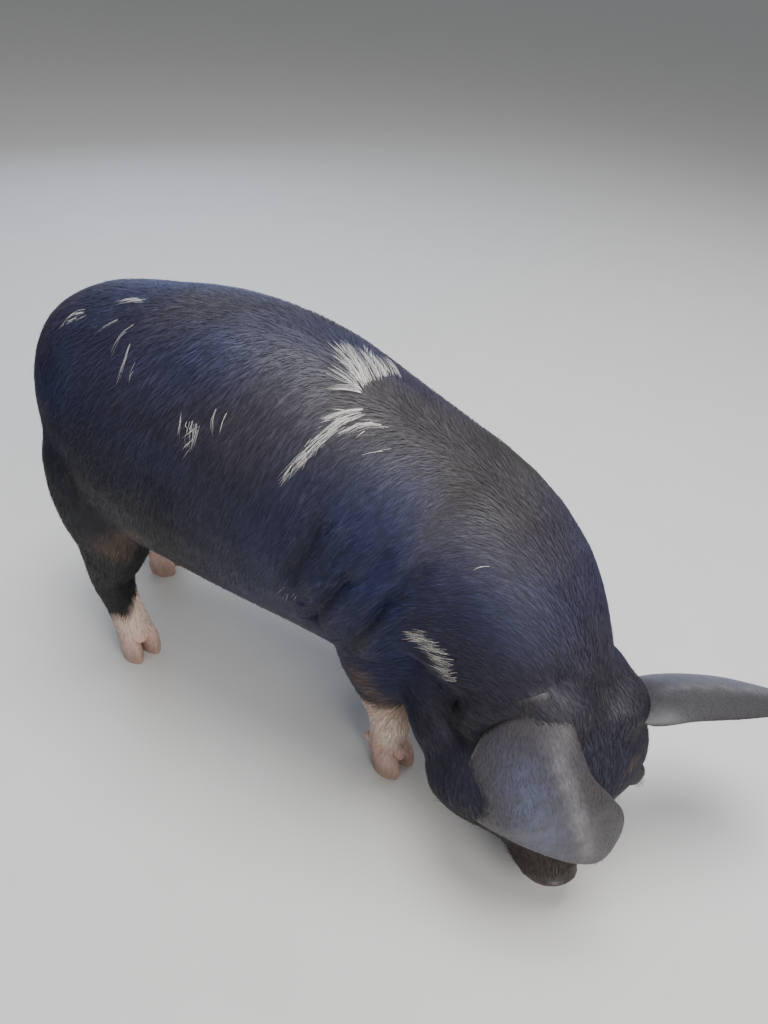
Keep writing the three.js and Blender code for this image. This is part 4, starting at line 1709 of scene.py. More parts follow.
@dataclass
class Hairs:
    """Many hairs or tufts as one mesh: each is a thin closed spike of three sides.

    The arrays hold one row a hair, and under it one entry a station from root to tip.
    """

    SIDES = 3

    name: str
    spine: Array
    faces: Array
    widths: Array
    tones: Array
    patches: Array | None = None
    thickness: float = 0.4
    patch_size: float = 3 * MM
    sleek: float = 0.82

    def build(self) -> Piece:
        """Builds the mesh with its colours and its map.

        Returns:
            The piece.
        """
        count, stations = self.spine.shape[:2]
        forward = unit(np.gradient(self.spine, axis=1))
        across = unit(np.cross(self.faces, forward))
        over = np.cross(forward, across)
        half = 0.5 * self.widths[..., None]
        low = self.spine[:, :-1] - over[:, :-1] * half[:, :-1] * self.thickness * 0.5
        left = low + across[:, :-1] * half[:, :-1]
        right = low - across[:, :-1] * half[:, :-1]
        crown = self.spine[:, :-1] + over[:, :-1] * half[:, :-1] * self.thickness * 1.5
        rings = np.stack([left, right, crown], axis=2)
        points = np.concatenate([rings.reshape(count, -1, 3), self.spine[:, -1:]], axis=1)
        per = points.shape[1]
        base = np.arange(count)[:, None] * per
        band = band_faces(stations - 1, self.SIDES)[:, [0, 3, 2, 1]]
        last = self.SIDES * (stations - 2)
        here = np.arange(self.SIDES)
        tip = np.stack([last + here, np.full(self.SIDES, per - 1), last + (here + 1) % self.SIDES], axis=1)
        ends = np.concatenate([here[None], tip])
        faces = [(base[None] + part[:, None]).reshape(-1, part.shape[1]) for part in (band, ends)]
        made = make_mesh(self.name, points.reshape(-1, 3), faces)
        tones = np.repeat(self.tones[:, None], stations, axis=1) if self.tones.ndim == 2 else self.tones
        paint(made, self.each_vertex(tones))
        skin = self.each_vertex(self.faces)
        sleek = unit(mix(point_normals(made), skin, self.sleek))
        made.data.normals_split_custom_set_from_vertices(sleek.astype(np.float32))
        if self.patches is not None:
            self.lay_map(made, stations)
        return made

    def each_vertex(self, values: Array) -> Array:
        """Values of the stations, one row a vertex."""
        rings = np.repeat(values[:, :-1], self.SIDES, axis=1)
        return np.concatenate([rings, values[:, -1:]], axis=1).reshape(-1, values.shape[-1])

    def lay_map(self, made: Piece, stations: int) -> None:
        """Gives each hair its own patch of the map, at its root's place on the unwrapped skin.

        Args:
            made: the mesh.
            stations: how many stations a hair has.
        """
        turn = np.radians([90.0, 210.0, 330.0])
        corners = np.stack([np.cos(turn), np.sin(turn)], axis=1)
        shrink = 1.0 - np.arange(stations - 1) / (stations - 0.5)
        ring = 0.5 * self.patch_size * shrink[:, None, None] * corners[None]
        local = np.concatenate([ring.reshape(-1, 2), np.zeros((1, 2))])
        places = (self.patches[:, None] + local[None]).reshape(-1, 2)
        numbers = read(made.data.loops, "vertex_index", 1, np.int32)[:, 0]
        layer = made.data.uv_layers.new(name="OFBake")
        layer.data.foreach_set("uv", places[numbers].astype(np.float32).ravel())


class Wrap(Enum):
    """How the skin under a piece of coat is unwrapped."""

    TRUNK = "trunk"
    LEGS = "legs"
    EARS = "ears"


@dataclass(frozen=True)
class CoatPiece:
    """One piece of the coat: the regions it grows on, which side, how it is unwrapped and its hairs."""

    name: str
    regions: tuple[Region, ...]
    hairs: int
    wrap: Wrap = Wrap.TRUNK
    side: int = 0
    slot: str = "coat_dark"


COAT_PIECES = (
    CoatPiece("coat_rump_right", (Region.RUMP, Region.TAIL), 17500, side=-1),
    CoatPiece("coat_rump_left", (Region.RUMP, Region.TAIL), 15500, side=1),
    CoatPiece("coat_barrel_right", (Region.BARREL,), 14500, side=-1),
    CoatPiece("coat_barrel_left", (Region.BARREL,), 12500, side=1),
    CoatPiece("coat_shoulder_right", (Region.SHOULDER,), 14000, side=-1),
    CoatPiece("coat_shoulder_left", (Region.SHOULDER,), 12000, side=1),
    CoatPiece("coat_neck", (Region.NECK,), 17000),
    CoatPiece("coat_head", (Region.HEAD, Region.SNOUT, Region.JAW, Region.TASSEL), 19500),
    CoatPiece("coat_ears", (Region.EAR,), 11000, Wrap.EARS, slot="ear_skin"),
    CoatPiece("coat_legs", (Region.UPPER_LEG, Region.LOWER_LEG), 13500, Wrap.LEGS, slot="coat_pale"),
)


class Coat:
    """The coat: tufts that grow from the skin, lie along it and carry its markings."""

    STATIONS = (0.0, 0.5, 1.0)
    RISE = (-0.12, 0.62, 1.0)
    PROFILE = (0.75, 1.0, 0.0)
    FADE = (0.85, 1.0, 1.1)
    STRAYS = 0.03
    QUICK_SHARE = 0.3

    def __init__(self, skin: Skin) -> None:
        """Keeps the skin and finds where nothing grows.

        Args:
            skin: what the coat grows from.
        """
        self.skin = skin
        self.finish = HairFinish().material()
        self.lengths = skin.measure("length") * MM
        self.widths = skin.measure("width") * MM
        self.lifts = skin.measure("lift") * MM
        self.crowds = skin.measure("crowd") * self.growing()

    def growing(self) -> Array:
        """How much hair grows at each vertex of the skin.

        Returns:
            One share a vertex, which is 0 on the nose, the lips, the eyes and the soles.
        """
        points = self.skin.points
        shares = self.skin.region_shares()
        grow = np.ones(len(points))
        ahead = noseward(points)
        snout = shares[Region.SNOUT] > 0.3
        grow[snout & (ahead > 0.955)] = 0.0
        grow *= ease(1.5 * MM, 4.0 * MM, from_mouth(points))
        for eye in EYES:
            x, y, z = eye.local(points).T
            grow *= np.where(z > -0.5, ease(1.15, 1.4, np.hypot(x / 1.25, y)), 1.0)
        for ear in EARS.values():
            hollow = (self.skin.normals @ np.array(ear.outward) < -0.1) & (shares[Region.EAR] > 0.5)
            near = np.abs(ear.across(points)) < 1.4
            grow[hollow & near] *= 0.3
        claws = [np.array(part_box(name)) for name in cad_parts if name.startswith("claw")]
        for low, high in claws:
            under = np.all((points > low + 2 * MM) & (points < high - 3 * MM), axis=1)
            grow[under] = 0.0
        grow[points[:, 2] < 3 * MM] = 0.0
        return grow

    def scatter(self, piece: CoatPiece, rng: np.random.Generator) -> tuple[Array, Array]:
        """Chooses where a piece's hairs grow.

        Args:
            piece: the piece.
            rng: the source of chance.

        Returns:
            The three vertices under each root, and how much each counts there.
        """
        skin = self.skin
        triangles = skin.triangles
        numbers = np.argmax(skin.shares, axis=1)[triangles[:, 0]]
        wanted = np.isin(numbers, [REGIONS.index(region) for region in piece.regions])
        middles = skin.points[triangles].mean(axis=1)
        if piece.side:
            wanted &= (middles[:, 1] - spot(0, 0, 0)[1]) * piece.side > 0
        chosen = triangles[wanted]
        a, b, c = (skin.points[chosen[:, k]] for k in range(3))
        area = 0.5 * np.linalg.norm(np.cross(b - a, c - a), axis=1)
        heap = np.cumsum(area * self.crowds[chosen].mean(axis=1))
        count = int(piece.hairs * (1.0))
        draw = (np.arange(count) + rng.uniform(0.0, 1.0, count)) / count * heap[-1]
        rows = chosen[np.minimum(np.searchsorted(heap, draw), len(chosen) - 1)]
        u, v = rng.uniform(0.0, 1.0, (2, count))
        flip = u + v > 1.0
        u[flip], v[flip] = 1.0 - u[flip], 1.0 - v[flip]
        return rows, np.stack([1.0 - u - v, u, v], axis=1)

    def map_places(self, piece: CoatPiece, roots: Array, normals: Array) -> Array:
        """The place of each root on the unwrapped skin.

        Args:
            piece: the piece of the coat.
            roots: where its hairs grow.
            normals: the way the skin faces there.

        Returns:
            One place a hair, from 0 to 1 both ways.
        """
        if piece.wrap is Wrap.TRUNK:
            along, angle = AXIS.unwrap(roots)
            places = np.stack([along, angle], axis=1)
        elif piece.wrap is Wrap.LEGS:
            feet = [np.array(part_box(f"claw_outer_{foot.name}")).mean(axis=0) for foot in FEET]
            far = [np.hypot(*(roots - foot)[:, :2].T) for foot in feet]
            leg = np.argmin(far, axis=0)
            out = roots - np.array(feet)[leg]
            around = np.arctan2(out[:, 1], out[:, 0]) / (2.0 * math.pi) + 0.5
            places = np.stack([leg + 0.9 * around, roots[:, 2]], axis=1)
        else:
            along = 2.2 * nearest_ear(roots) + np.clip(by_ear(roots, lambda ear: ear.share(roots)), -0.4, 1.2)
            back = by_ear(roots, lambda ear: normals @ np.array(ear.outward) > 0)
            across = np.clip(by_ear(roots, lambda ear: ear.across(roots)), -1.4, 1.4)
            places = np.stack([along, 3.0 * back + across], axis=1)
        low, high = places.min(axis=0), places.max(axis=0)
        return 0.01 + 0.98 * (places - low) / (high - low)

    def grow(self, piece: CoatPiece, seed: int) -> Piece:
        """Grows one piece of the coat.

        Args:
            piece: which piece.
            seed: the seed of its chance.

        Returns:
            The piece.
        """
        rng = np.random.default_rng(SEED + seed)
        skin = self.skin
        rows, shares = self.scatter(piece, rng)
        count = len(rows)

        def at(values: Array) -> Array:
            """A vertex value at each root."""
            if values.ndim == 1:
                return np.einsum("ij,ij->i", values[rows], shares)
            return np.einsum("ijk,ij->ik", values[rows], shares)

        roots = at(skin.points)
        normals = unit(at(skin.normals))
        ways = at(skin.ways)
        ways = unit(ways - dot(ways, normals) * normals)
        turn = rng.normal(0.0, 8.0, count) + 3.0 * slow_waves(roots, 0.03, 31)
        turn = np.radians(turn + 5.0 * slow_waves(roots, 0.09, 32))
        side = np.cross(normals, ways)
        ways = np.cos(turn)[:, None] * ways + np.sin(turn)[:, None] * side
        lengths = at(self.lengths) * rng.uniform(0.72, 1.18, count)
        stray = rng.uniform(0.0, 1.0, count) < self.STRAYS
        lifts = at(self.lifts) * rng.uniform(0.75, 1.1, count) * np.where(stray, 2.0, 1.0)
        widths = at(self.widths) * rng.uniform(0.65, 1.35, count) * np.where(stray, 0.6, 1.0)
        spine = np.empty((count, len(self.STATIONS), 3))
        faces = np.empty_like(spine)
        for i, share in enumerate(self.STATIONS):
            place, face = roots, normals
            if share:
                place, face = skin.follow(roots + ways * (lengths * share)[:, None], normals)
            spine[:, i] = place + face * (lifts * self.RISE[i])[:, None]
            faces[:, i] = face
        tones = self.tones(roots, normals, {r: at(s) for r, s in skin.region_shares().items()}, rng)
        patches = self.map_places(piece, roots, normals)
        hairs = Hairs(piece.name, spine, faces, widths[:, None] * self.PROFILE, tones, patches)
        return dress(hairs.build(), self.finish)

    def tones(
        self, roots: Array, normals: Array, shares: dict[Region, Array], rng: np.random.Generator
    ) -> Array:
        """The colour of each tuft.

        Args:
            roots: where the tufts grow.
            normals: the way the skin faces there.
            shares: how much each region counts there.
            rng: the source of chance.

        Returns:
            One colour a tuft and station.
        """
        count = len(roots)
        colours = MARKINGS.base(roots, normals, shares)
        colours = mix(colours, Tone.TAN, (MARKINGS.tan(roots) * rng.uniform(0.1, 1.0, count))[:, None])
        glint = np.clip(np.exp(rng.normal(0.0, 0.27, (count, 1))), 0.6, 2.0)
        colours = colours * glint * (1.0 + rng.normal(0.0, 0.03, (count, 3)))
        white = rng.uniform(0.0, 1.0, count) < MARKINGS.white(roots)
        colours[white] = Tone.WHITE * rng.uniform(0.4, 1.0, (white.sum(), 1))
        return np.clip(colours[:, None] * np.array(self.FADE)[:, None], 0.0, 0.95)

    def build(self) -> list[Piece]:
        """Grows all the pieces of the coat."""
        return [self.grow(piece, number) for number, piece in enumerate(COAT_PIECES)]


class LongHair:
    """Longer single hairs: the white strands, the whiskers, the lashes and the tail's switch."""

    STRAND_RISE = (1.4, 2.6, 3.5, 4.1, 4.4, 4.5, 4.4)
    STRAND_WIDTHS = (0.24, 0.48)
    SAMPLES = 40
    BRISTLES = 2600
    BRISTLE_WIDTH = 0.36
    LASHES = 26
    LASH_LENGTHS = (7.0, 10.0)
    LASH_WIDTH = 0.38
    SWITCH_HAIRS = 420
    SWITCH_LENGTHS = (42.0, 66.0)
    SWITCH_WIDTH = 0.95

    def __init__(self, skin: Skin) -> None:
        """Keeps the skin that the hairs grow from."""
        self.skin = skin
        self.rng = np.random.default_rng(SEED + 100)
        self.finish = HairFinish("long_hair", rough=0.36, contrast=0.2).material()

    def finished(self, hairs: Hairs) -> Piece:
        """Builds and dresses hairs."""
        return dress(hairs.build(), self.finish)

    def strands(self) -> Piece:
        """The long white hairs that lie over the dark coat.

        Returns:
            The strands.
        """
        lines, widths = [], []
        stations = len(self.STRAND_RISE)
        thin = np.linspace(1.0, 0.0, stations) ** 0.6
        for fan in WHITE_FANS:
            first, last = fan.between(self.SAMPLES)
            for _ in range(fan.hairs):
                lock = self.rng.integers(fan.locks) + 0.5
                spread = self.rng.normal(0.0, 0.2) if fan.locks > 1 else self.rng.uniform(-0.5, 0.5)
                line = mix(first, last, (lock + spread) / fan.locks)
                part = fan.part * self.rng.uniform(0.7, 1.2)
                start = self.rng.uniform(0.0, max(1.0 - part, 0.0)) if part < 1.0 else 0.0
                place = np.linspace(start, min(start + part, 1.0), stations) * (self.SAMPLES - 1)
                hair = np.stack([np.interp(place, np.arange(self.SAMPLES), xs) for xs in line.T], axis=1)
                lines.append(hair + self.rng.normal(0.0, 0.7 * fan.stray * MM, (2, 3))[[0] * 3 + [1] * 4])
                widths.append(thin * self.rng.uniform(*self.STRAND_WIDTHS) * MM)
        hairs = np.array(lines)
        find = self.skin.tree.find_nearest
        found = [find(point) for point in hairs.reshape(-1, 3).tolist()]
        places = np.array([entry[0] for entry in found]).reshape(hairs.shape)
        faces = unit(np.array([entry[1] for entry in found])).reshape(hairs.shape)
        rise = np.array(self.STRAND_RISE)[:, None] * MM
        spines = places + faces * rise * self.rng.uniform(0.85, 1.15, (len(places), 1, 1))
        tones = Tone.WHITE * self.rng.uniform(0.5, 1.12, (len(spines), 1))
        return self.finished(Hairs("white_strands", spines, faces, np.array(widths), tones))

    def bristles(self) -> Piece:
        """Fine longer hairs on the chin, the muzzle and the head, and a few on the neck, shoulders and rump.

        Returns:
            The bristles.
        """
        skin = self.skin
        shares = skin.region_shares()
        ahead = noseward(skin.points)
        crowd = 3.0 * shares[Region.JAW] + 3.5 * shares[Region.SNOUT] * (ahead < 0.95)
        crowd += 0.3 * shares[Region.HEAD]
        crowd += 0.12 * (shares[Region.NECK] + shares[Region.SHOULDER] + shares[Region.RUMP])
        chance = crowd * (np.abs(skin.points[:, 2]) > 8 * MM)
        rows = self.rng.choice(len(skin.points), self.BRISTLES, replace=False, p=chance / chance.sum())
        roots, normals, ways = skin.points[rows], skin.normals[rows], skin.ways[rows]
        lengths = (10 + 12 * self.rng.uniform(0, 1, len(rows))) * MM
        lengths = np.where(shares[Region.SNOUT][rows] > 0.3, 0.7 * lengths, lengths)
        share = np.linspace(0.0, 1.0, 5)
        lean = self.rng.uniform(0.35, 0.75, len(rows))[:, None, None]
        out = unit(mix(normals, ways, 0.5))[:, None]
        sag = 0.12 * (share**2)[:, None] * [0.0, 0.0, -1.0]
        bow = share[:, None] * mix(ways[:, None], out, lean) + sag
        spine = roots[:, None] + lengths[:, None, None] * bow
        spine[..., 2] = np.maximum(spine[..., 2], 1.5 * MM)
        faces = np.repeat(normals[:, None], 5, axis=1)
        widths = self.BRISTLE_WIDTH * MM * (1.0 - share) ** 0.6
        face = (shares[Region.JAW] + shares[Region.SNOUT] + 0.3 * shares[Region.HEAD])[rows, None]
        tones = mix(Tone.BROWN_BLACK, Tone.TAN, face * self.rng.uniform(0.0, 0.9, (len(rows), 1)) ** 2)
        return self.finished(Hairs("bristles", spine, faces, widths * (1.0 + 0.5 * face), tones))

    def lashes(self) -> Piece:
        """The upper lashes of both eyes.

        Returns:
            The lashes.
        """
        spines, faces = [], []
        s = np.linspace(0.0, 1.0, 6)[:, None]
        for eye in EYES:
            forward, up, out = eye.axes
            for share in np.linspace(-0.75, 0.8, self.LASHES):
                x = share * 0.95 + self.rng.normal(0.0, 0.03)
                y = 0.42 * math.sqrt(max(1.0 - share**2, 0.0)) + 0.05
                z = math.sqrt(max(1.1 - x * x - y * y, 0.1))
                root = eye.centre + eye.radius * (x * forward + y * up + 1.02 * out * z)
                length = self.rng.uniform(*self.LASH_LENGTHS) * MM
                way = unit(out + 0.25 * x * forward + 0.1 * up)
                spines.append(root + length * (s * way + 0.35 * s**2 * unit(up - 0.3 * out) - 0.15 * s * up))
                faces.append(np.repeat(up[None], len(s), axis=0))
        widths = np.tile(self.LASH_WIDTH * MM * (1.0 - s[:, 0]) ** 0.6, (len(spines), 1))
        tones = np.tile(Tone.BROWN_BLACK * 0.8, (len(spines), 1))
        return self.finished(Hairs("lashes", np.array(spines), np.array(faces), widths, tones))

    def switch(self) -> Piece:
        """The switch: long soft hair that hangs from the end of the tail.

        Returns:
            The switch.
        """
        line = smooth_line(Skin.TAIL, 60)
        spines, faces = [], []
        s = np.linspace(0.0, 1.0, 9)[:, None]
        for _ in range(self.SWITCH_HAIRS):
            start = self.rng.uniform(0.5, 1.0)
            row = line[int(start * (len(line) - 1))]
            turn = self.rng.uniform(0.0, 2.0 * math.pi)
            side = np.array([math.cos(turn), math.sin(turn), 0.0])
            root = spot(*row[:3]) + side * row[3] * MM * 0.7
            length = self.rng.uniform(*self.SWITCH_LENGTHS) * MM
            bow = np.array([self.rng.normal(4.0, 5.0), self.rng.normal(-5.0, 5.0), 0.0]) * MM
            out = side * self.rng.uniform(5.0, 13.0) * MM
            spines.append(root + out * np.sin(s * 2.1) + bow * s**2 + length * s * np.array([0.0, 0.0, -1.0]))
            faces.append(np.repeat(side[None], len(s), axis=0))
        each = (len(spines), 1)
        widths = self.SWITCH_WIDTH * MM * (1.0 - s[:, 0]) ** 0.5 * self.rng.uniform(0.6, 1.2, each)
        # The switch's hairs mix the brown-black with the black that carries the painted sky sheen.
        tones = mix(Tone.BLUE_BLACK, Tone.BROWN_BLACK, self.rng.uniform(0, 1, each))
        tones = tones * self.rng.uniform(0.8, 1.5, each)
        return self.finished(Hairs("tail_switch", np.array(spines), np.array(faces), widths, tones))

    def build(self) -> list[Piece]:
        """Builds all the longer hair, always in this order, because each draws from one source of chance."""
        return [self.strands(), self.bristles(), self.lashes(), self.switch()]


# Eyes


class EyeSet:
    """The two eyes, each a ball with its painted iris under a bulging cornea, between two lids."""

    RINGS = 32
    AROUND = 48
    OPENING = (1.06, 0.48, 0.36)
    OUTER = (1.75, 1.36)
    DOME = (1.9, 1.5)
    BULGE = 1.10
    CORNEA = 0.05
    PUPIL = np.array([0.004, 0.004, 0.005])
    IRIS = (np.array([0.10, 0.045, 0.02]), np.array([0.035, 0.016, 0.008]))
    WHITE = (np.array([0.30, 0.22, 0.18]), np.array([0.16, 0.08, 0.06]))
    RIM = np.array([0.07, 0.033, 0.03])
    PROFILE = (
        (0.0, 0.0),
        (0.0, 0.09),
        (0.05, 0.15),
        (0.13, 0.14),
        (0.24, 0.06),
        (0.34, 0.06),
        (0.46, 0.08),
        (0.6, 0.03),
        (0.76, -0.05),
        (0.9, -0.15),
        (1.0, -0.3),
    )

    def ball(self, eye: EyePlace) -> Piece:
        """One ball, from a sphere whose front is drawn out into the cornea.

        Args:
            eye: where it sits.

        Returns:
            The ball.
        """
        ball = new_ball(self.AROUND, self.RINGS)
        ball.name = ball.data.name = "eyeball" + eye.name[3:]
        local = corner_points(ball)
        angle = np.degrees(np.arccos(np.clip(local[:, 2], -1.0, 1.0)))
        local = local * (1.0 + self.CORNEA * ease(38.0, 8.0, angle))[:, None]
        forward, up, out = eye.axes
        set_points(ball, eye.centre + eye.radius * local @ np.stack([forward, up, out]))
        edit_mesh(ball, face_outwards)
        bpy.ops.object.shade_smooth()
        wide = np.degrees(np.arctan2(np.hypot(local[:, 0] / 1.5, local[:, 1]), local[:, 2]))
        iris = mix(*self.IRIS, ease(30.0, 44.0, angle)[:, None])
        white = mix(*self.WHITE, ease(52.0, 80.0, angle)[:, None])
        colours = mix(iris, white, ease(46.0, 50.0, angle)[:, None])
        paint(ball, mix(self.PUPIL, colours, ease(15.0, 18.0, wide)[:, None]))
        return dress(ball, EYE_MATERIAL, [eye.name])

    def lids(self, eye: EyePlace) -> Piece:
        """Both lids of one eye: a rim that hugs the ball, a fold, and an edge that dips under the skin.

        Args:
            eye: where they sit.

        Returns:
            The lids.
        """
        turn = np.linspace(0.0, 2.0 * math.pi, 64, endpoint=False)
        width, upper, lower = self.OPENING
        pinch = np.abs(np.sin(turn)) ** 1.25 * np.sign(np.sin(turn))
        edge = np.stack([width * np.cos(turn), np.where(pinch > 0, upper, lower) * pinch], axis=1)
        rim = np.stack([self.OUTER[0] * np.cos(turn), self.OUTER[1] * np.sin(turn)], axis=1)
        rows = []
        for share, lift in self.PROFILE:
            flat = mix(edge, rim, share)
            ball = np.sqrt(np.maximum(1.0 - np.sum(flat**2, axis=1), 0.0))
            out = 1.0 - (flat[:, 0] / self.DOME[0]) ** 2 - (flat[:, 1] / self.DOME[1]) ** 2
            far = np.sqrt(np.maximum(out, 0.0)) * self.BULGE
            height = np.maximum(ball, far) + lift
            rows.append(np.column_stack([flat, height]))
        local = np.concatenate(rows)
        under = local[-len(turn):] * [0.9, 0.9, 1.0] - [0.0, 0.0, 0.5]
        local = np.concatenate([local, under])
        levels = len(rows) + 1
        forward, up, out = eye.axes
        points = eye.centre + eye.radius * local @ np.stack([forward, up, out])
        faces = band_faces(levels, len(turn))[:, [0, 3, 2, 1]]
        made = make_mesh("lids" + eye.name[3:], points, [faces])
        if np.cross(forward, up) @ out < 0:
            edit_mesh(made, bpy.ops.mesh.flip_normals)
        row = np.repeat(np.arange(levels), len(turn))
        inner = ease(2.5, 0.5, row)[:, None]
        outer = ease(6.0, 10.0, row)[:, None]
        paint(made, mix(mix(Tone.BROWN_BLACK * 0.75, Tone.BROWN_BLACK * 0.45, outer), self.RIM, inner))
        moisten(made, 0.8 * inner[:, 0])
        return dress(made, LID_MATERIAL)

    def build(self) -> list[Piece]:
        """Builds both eyes with their lids."""
        return [part for eye in EYES for part in (self.ball(eye), self.lids(eye))]


EYE_MATERIAL = EyeFinish().material()
LID_MATERIAL = SkinFinish("lid_skin", pores=2600.0, wrinkles=700.0, depth=0.3 * MM).material()

# Feet


@dataclass(frozen=True)
class Foot:
    """A foot: where it stands, how far it turns out, and its two main claws and two dew claws."""

    name: str
    at: tuple[float, float]
    turn: float
    half_width: float = 13.0
    heel: float = 36.0
    toe_drop: float = 15.0
    sole: float = 0.42
    cleft: float = 3.0
    forward: float = 7.0
    length: float = 46.0
    swell: float = 0.7
    dew_at: Place = (-26.0, 14.0, 42.0)
    dew_width: tuple[float, float] = (8.4, 5.0)
    dew_half_length: float = 11.0
    dew_slant: float = 40.0

    def placed(self, local: Array) -> Array:
        """Points of the foot's own axes, in millimetres, in the frame's metres.

        Args:
            local: the points, one a row.

        Returns:
            The same points in the frame.
        """
        angle = math.radians(self.turn)
        x = local[:, 0] * math.cos(angle) - local[:, 1] * math.sin(angle) + self.at[0]
        y = local[:, 0] * math.sin(angle) + local[:, 1] * math.cos(angle) + self.at[1]
        return np.column_stack([x, y, local[:, 2]]) * MM + SHIFT

    @property
    def side(self) -> int:
        """1 for a left foot and -1 for a right one."""
        return 1 if self.name.endswith("left") else -1

    def claw(self, inward: int) -> Piece:
        """One main claw: a blunt wedge with a flat sole, pointed at the toe.

        Args:
            inward: the side of the cleft that it is on.

        Returns:
            The claw.
        """
        claw = new_ball(40, 28)
        ball = corner_points(claw)
        across, over, along = ball[:, 1], ball[:, 2], ball[:, 0]
        toe = np.maximum(along, 0.0)
        groove = 0.35 * np.cos(along * 26.0) * ease(0.2, 0.6, over)
        wide = across * (self.half_width + self.swell + groove) * (1.0 - 0.35 * toe * toe)
        tall = self.heel + self.swell - self.toe_drop * toe + 0.5 * groove
        high = (np.maximum(over, -self.sole) + self.sole) * tall
        forth = along * (self.length / 2 + 0.5 * self.swell) + self.forward
        aside = wide + inward * (self.half_width + self.cleft / 2)
        set_points(claw, self.placed(np.column_stack([forth, aside, high])))
        return self.dressed(claw, inward, "horn_", "claw_")

    def dew_claw(self, inward: int) -> Piece:
        """One dew claw: a small blunt cone behind the pastern, pointing down and back.

        Args:
            inward: the side that it is on.

        Returns:
            The dew claw.
        """
        claw = new_ball(28, 24)
        ball = corner_points(claw)
        down = -ball[:, 2]
        share = 0.5 + 0.5 * down
        radius = mix(*self.dew_width, share) * np.sqrt(np.maximum(1.0 - np.abs(down) ** 5, 0.0))
        ring = unit(ball[:, :2] + 1e-9)
        ringed = radius * (1.0 + 0.02 * np.cos(down * 18.0))
        rise = -down * self.dew_half_length
        slant = math.radians(self.dew_slant)
        x = ring[:, 0] * ringed
        forth = x * math.cos(slant) + rise * math.sin(slant) + self.dew_at[0]
        aside = ring[:, 1] * ringed + inward * self.dew_at[1]
        high = -x * math.sin(slant) + rise * math.cos(slant) + self.dew_at[2]
        set_points(claw, self.placed(np.column_stack([forth, aside, high])))
        return self.dressed(claw, inward, "dew_horn_", "dew_claw_")

    def dressed(self, claw: Piece, inward: int, piece: str, node: str) -> Piece:
        """Closes a claw, and dresses it in the place of its node.

        Args:
            claw: the shaped claw.
            inward: the side that it is on.
            piece: how its name starts.
            node: how its node's name starts.

        Returns:
            The claw.
        """
        place = ("outer_" if inward == self.side else "inner_") + self.name
        claw.name = claw.data.name = piece + place
        edit_mesh(claw, lambda: bpy.ops.mesh.remove_doubles(threshold=0.05 * MM), face_outwards)
        bpy.ops.object.shade_smooth_by_angle(angle=math.radians(48))
        return dress(claw, HORN_MATERIAL, [node + place])

    def build(self) -> list[Piece]:
        """Builds the foot's four claws."""
        return [part for inward in (-1, 1) for part in (self.claw(inward), self.dew_claw(inward))]


HORN_MATERIAL = HornFinish().material()
FEET = (
    Foot("fore_right", (214, -58), -14),
    Foot("fore_left", (178, 66), 14),
    Foot("hind_right", (-200, -84), -16),
    Foot("hind_left", (-292, 76), 12),
)

# The studio


@dataclass(frozen=True)
class Lamp:
    """A soft studio light: where it stands, where it points, its size, power and colour."""

    name: str
    at: Place
    size: float
    power: float
    colour: Place
    aim: Place = (0.0, 0.0, 0.35)

    def build(self) -> None:
        """Sets the light up."""
        light = bpy.data.lights.new(self.name, "AREA")
        light.shape = "DISK"
        light.size = self.size
        light.energy = self.power
        light.color = self.colour
        lamp = bpy.data.objects.new(self.name, light)
        bpy.context.scene.collection.objects.link(lamp)
        lamp.location = self.at
        lamp.rotation_euler = (Vector(self.aim) - Vector(self.at)).to_track_quat("-Z", "Y").to_euler()


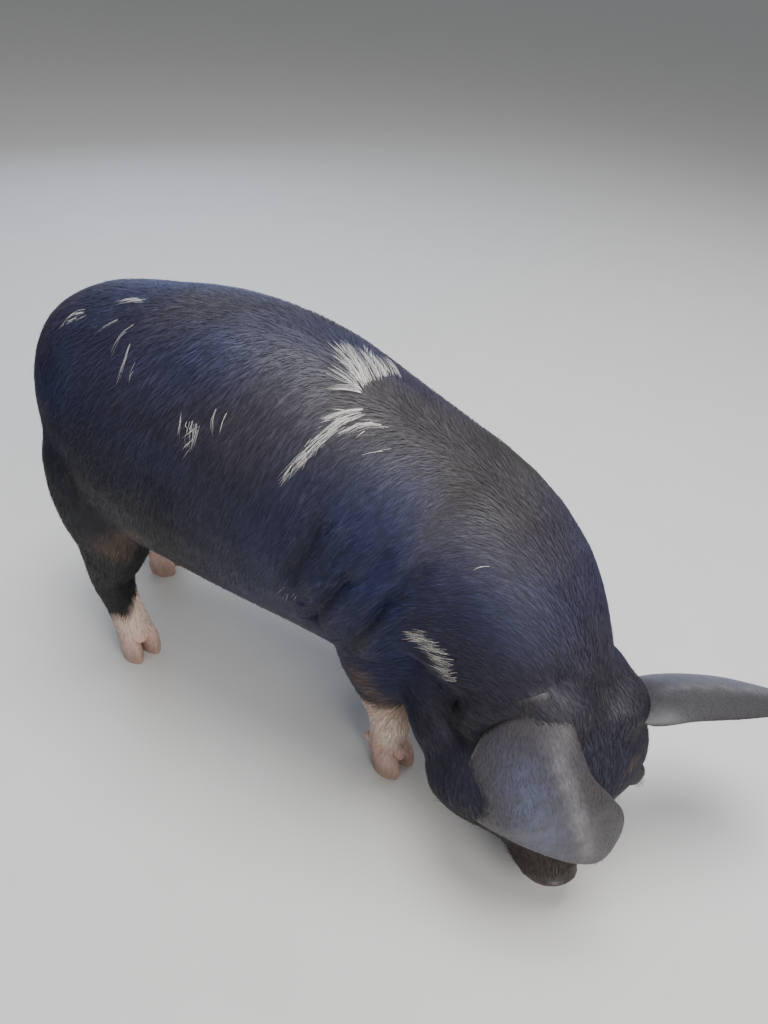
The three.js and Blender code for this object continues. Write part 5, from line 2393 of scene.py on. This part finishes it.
class Studio:
    """A plain pale floor, soft light and the camera at the photo's view.

    The camera's place is one of the drawing, in millimetres.
    """

    LAMPS = (
        Lamp("key", (0.0, 0.1, 2.8), 1.6, 106.0, (0.95, 0.97, 1.0)),
        Lamp("front", (1.9, -1.1, 1.8), 1.7, 56.0, (1.0, 0.98, 0.95)),
        Lamp("rim", (1.0, 2.2, 1.9), 1.8, 16.0, (0.97, 0.98, 1.0)),
        Lamp("sky", (-2.0, 1.5, 1.5), 1.8, 22.0, (0.55, 0.70, 1.0)),
    )
    WORLD = (0.80, 0.83, 0.88)
    EYE = (443.0, -623.0, 909.0)
    RIGHT = (0.8768, 0.4761, 0.0679)
    DOWN = (0.3445, -0.5231, -0.7795)
    AHEAD = (-0.3356, 0.7069, -0.6227)
    SENSOR = 36.0
    LENS = 770.0 / 1024.0 * SENSOR
    FLOOR = 300.0
    WORLD_LIGHT = 0.38

    def camera(self) -> None:
        """The camera at the photo's place."""
        made = bpy.data.objects.new("camera", bpy.data.cameras.new("camera"))
        bpy.context.scene.collection.objects.link(made)
        made.data.lens = self.LENS
        made.data.sensor_width = self.SENSOR
        turn = Matrix((self.RIGHT, [-v for v in self.DOWN], [-v for v in self.AHEAD])).transposed()
        made.matrix_world = Matrix.Translation(Vector(spot(*self.EYE))) @ turn.to_4x4()
        bpy.context.scene.camera = made

    def floor(self) -> None:
        """The floor, which isn't part of the pig."""
        bpy.ops.object.select_all(action="DESELECT")
        bpy.ops.mesh.primitive_plane_add(size=self.FLOOR, location=(0.0, 0.0, 0.0))
        made = bpy.context.view_layer.objects.active
        made.name = "floor"
        made.data.materials.append(FloorFinish().material())

    def build(self) -> None:
        """Sets the studio up."""
        self.camera()
        self.floor()
        for lamp in self.LAMPS:
            lamp.build()
        world = bpy.data.worlds.new("studio")
        world.use_nodes = True
        sky = world.node_tree.nodes["Background"]
        sky.inputs["Color"].default_value = (*self.WORLD, 1.0)
        sky.inputs["Strength"].default_value = self.WORLD_LIGHT
        bpy.context.scene.world = world


def corners(box: tuple[Vector, Vector]) -> list[list[float]]:
    """A box as plain lists of numbers."""
    return [list(corner) for corner in box]


def main() -> None:
    """Builds the pig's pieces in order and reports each."""
    logging.basicConfig(level=logging.INFO, format="%(message)s")
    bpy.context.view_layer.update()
    Studio().build()
    skin = Skin()
    report(skin.build())
    report(*EyeSet().build())
    for foot in FEET:
        report(*foot.build())
    report(*Coat(skin).build())
    report(*LongHair(skin).build())


if __name__ == "__main__":
    main()
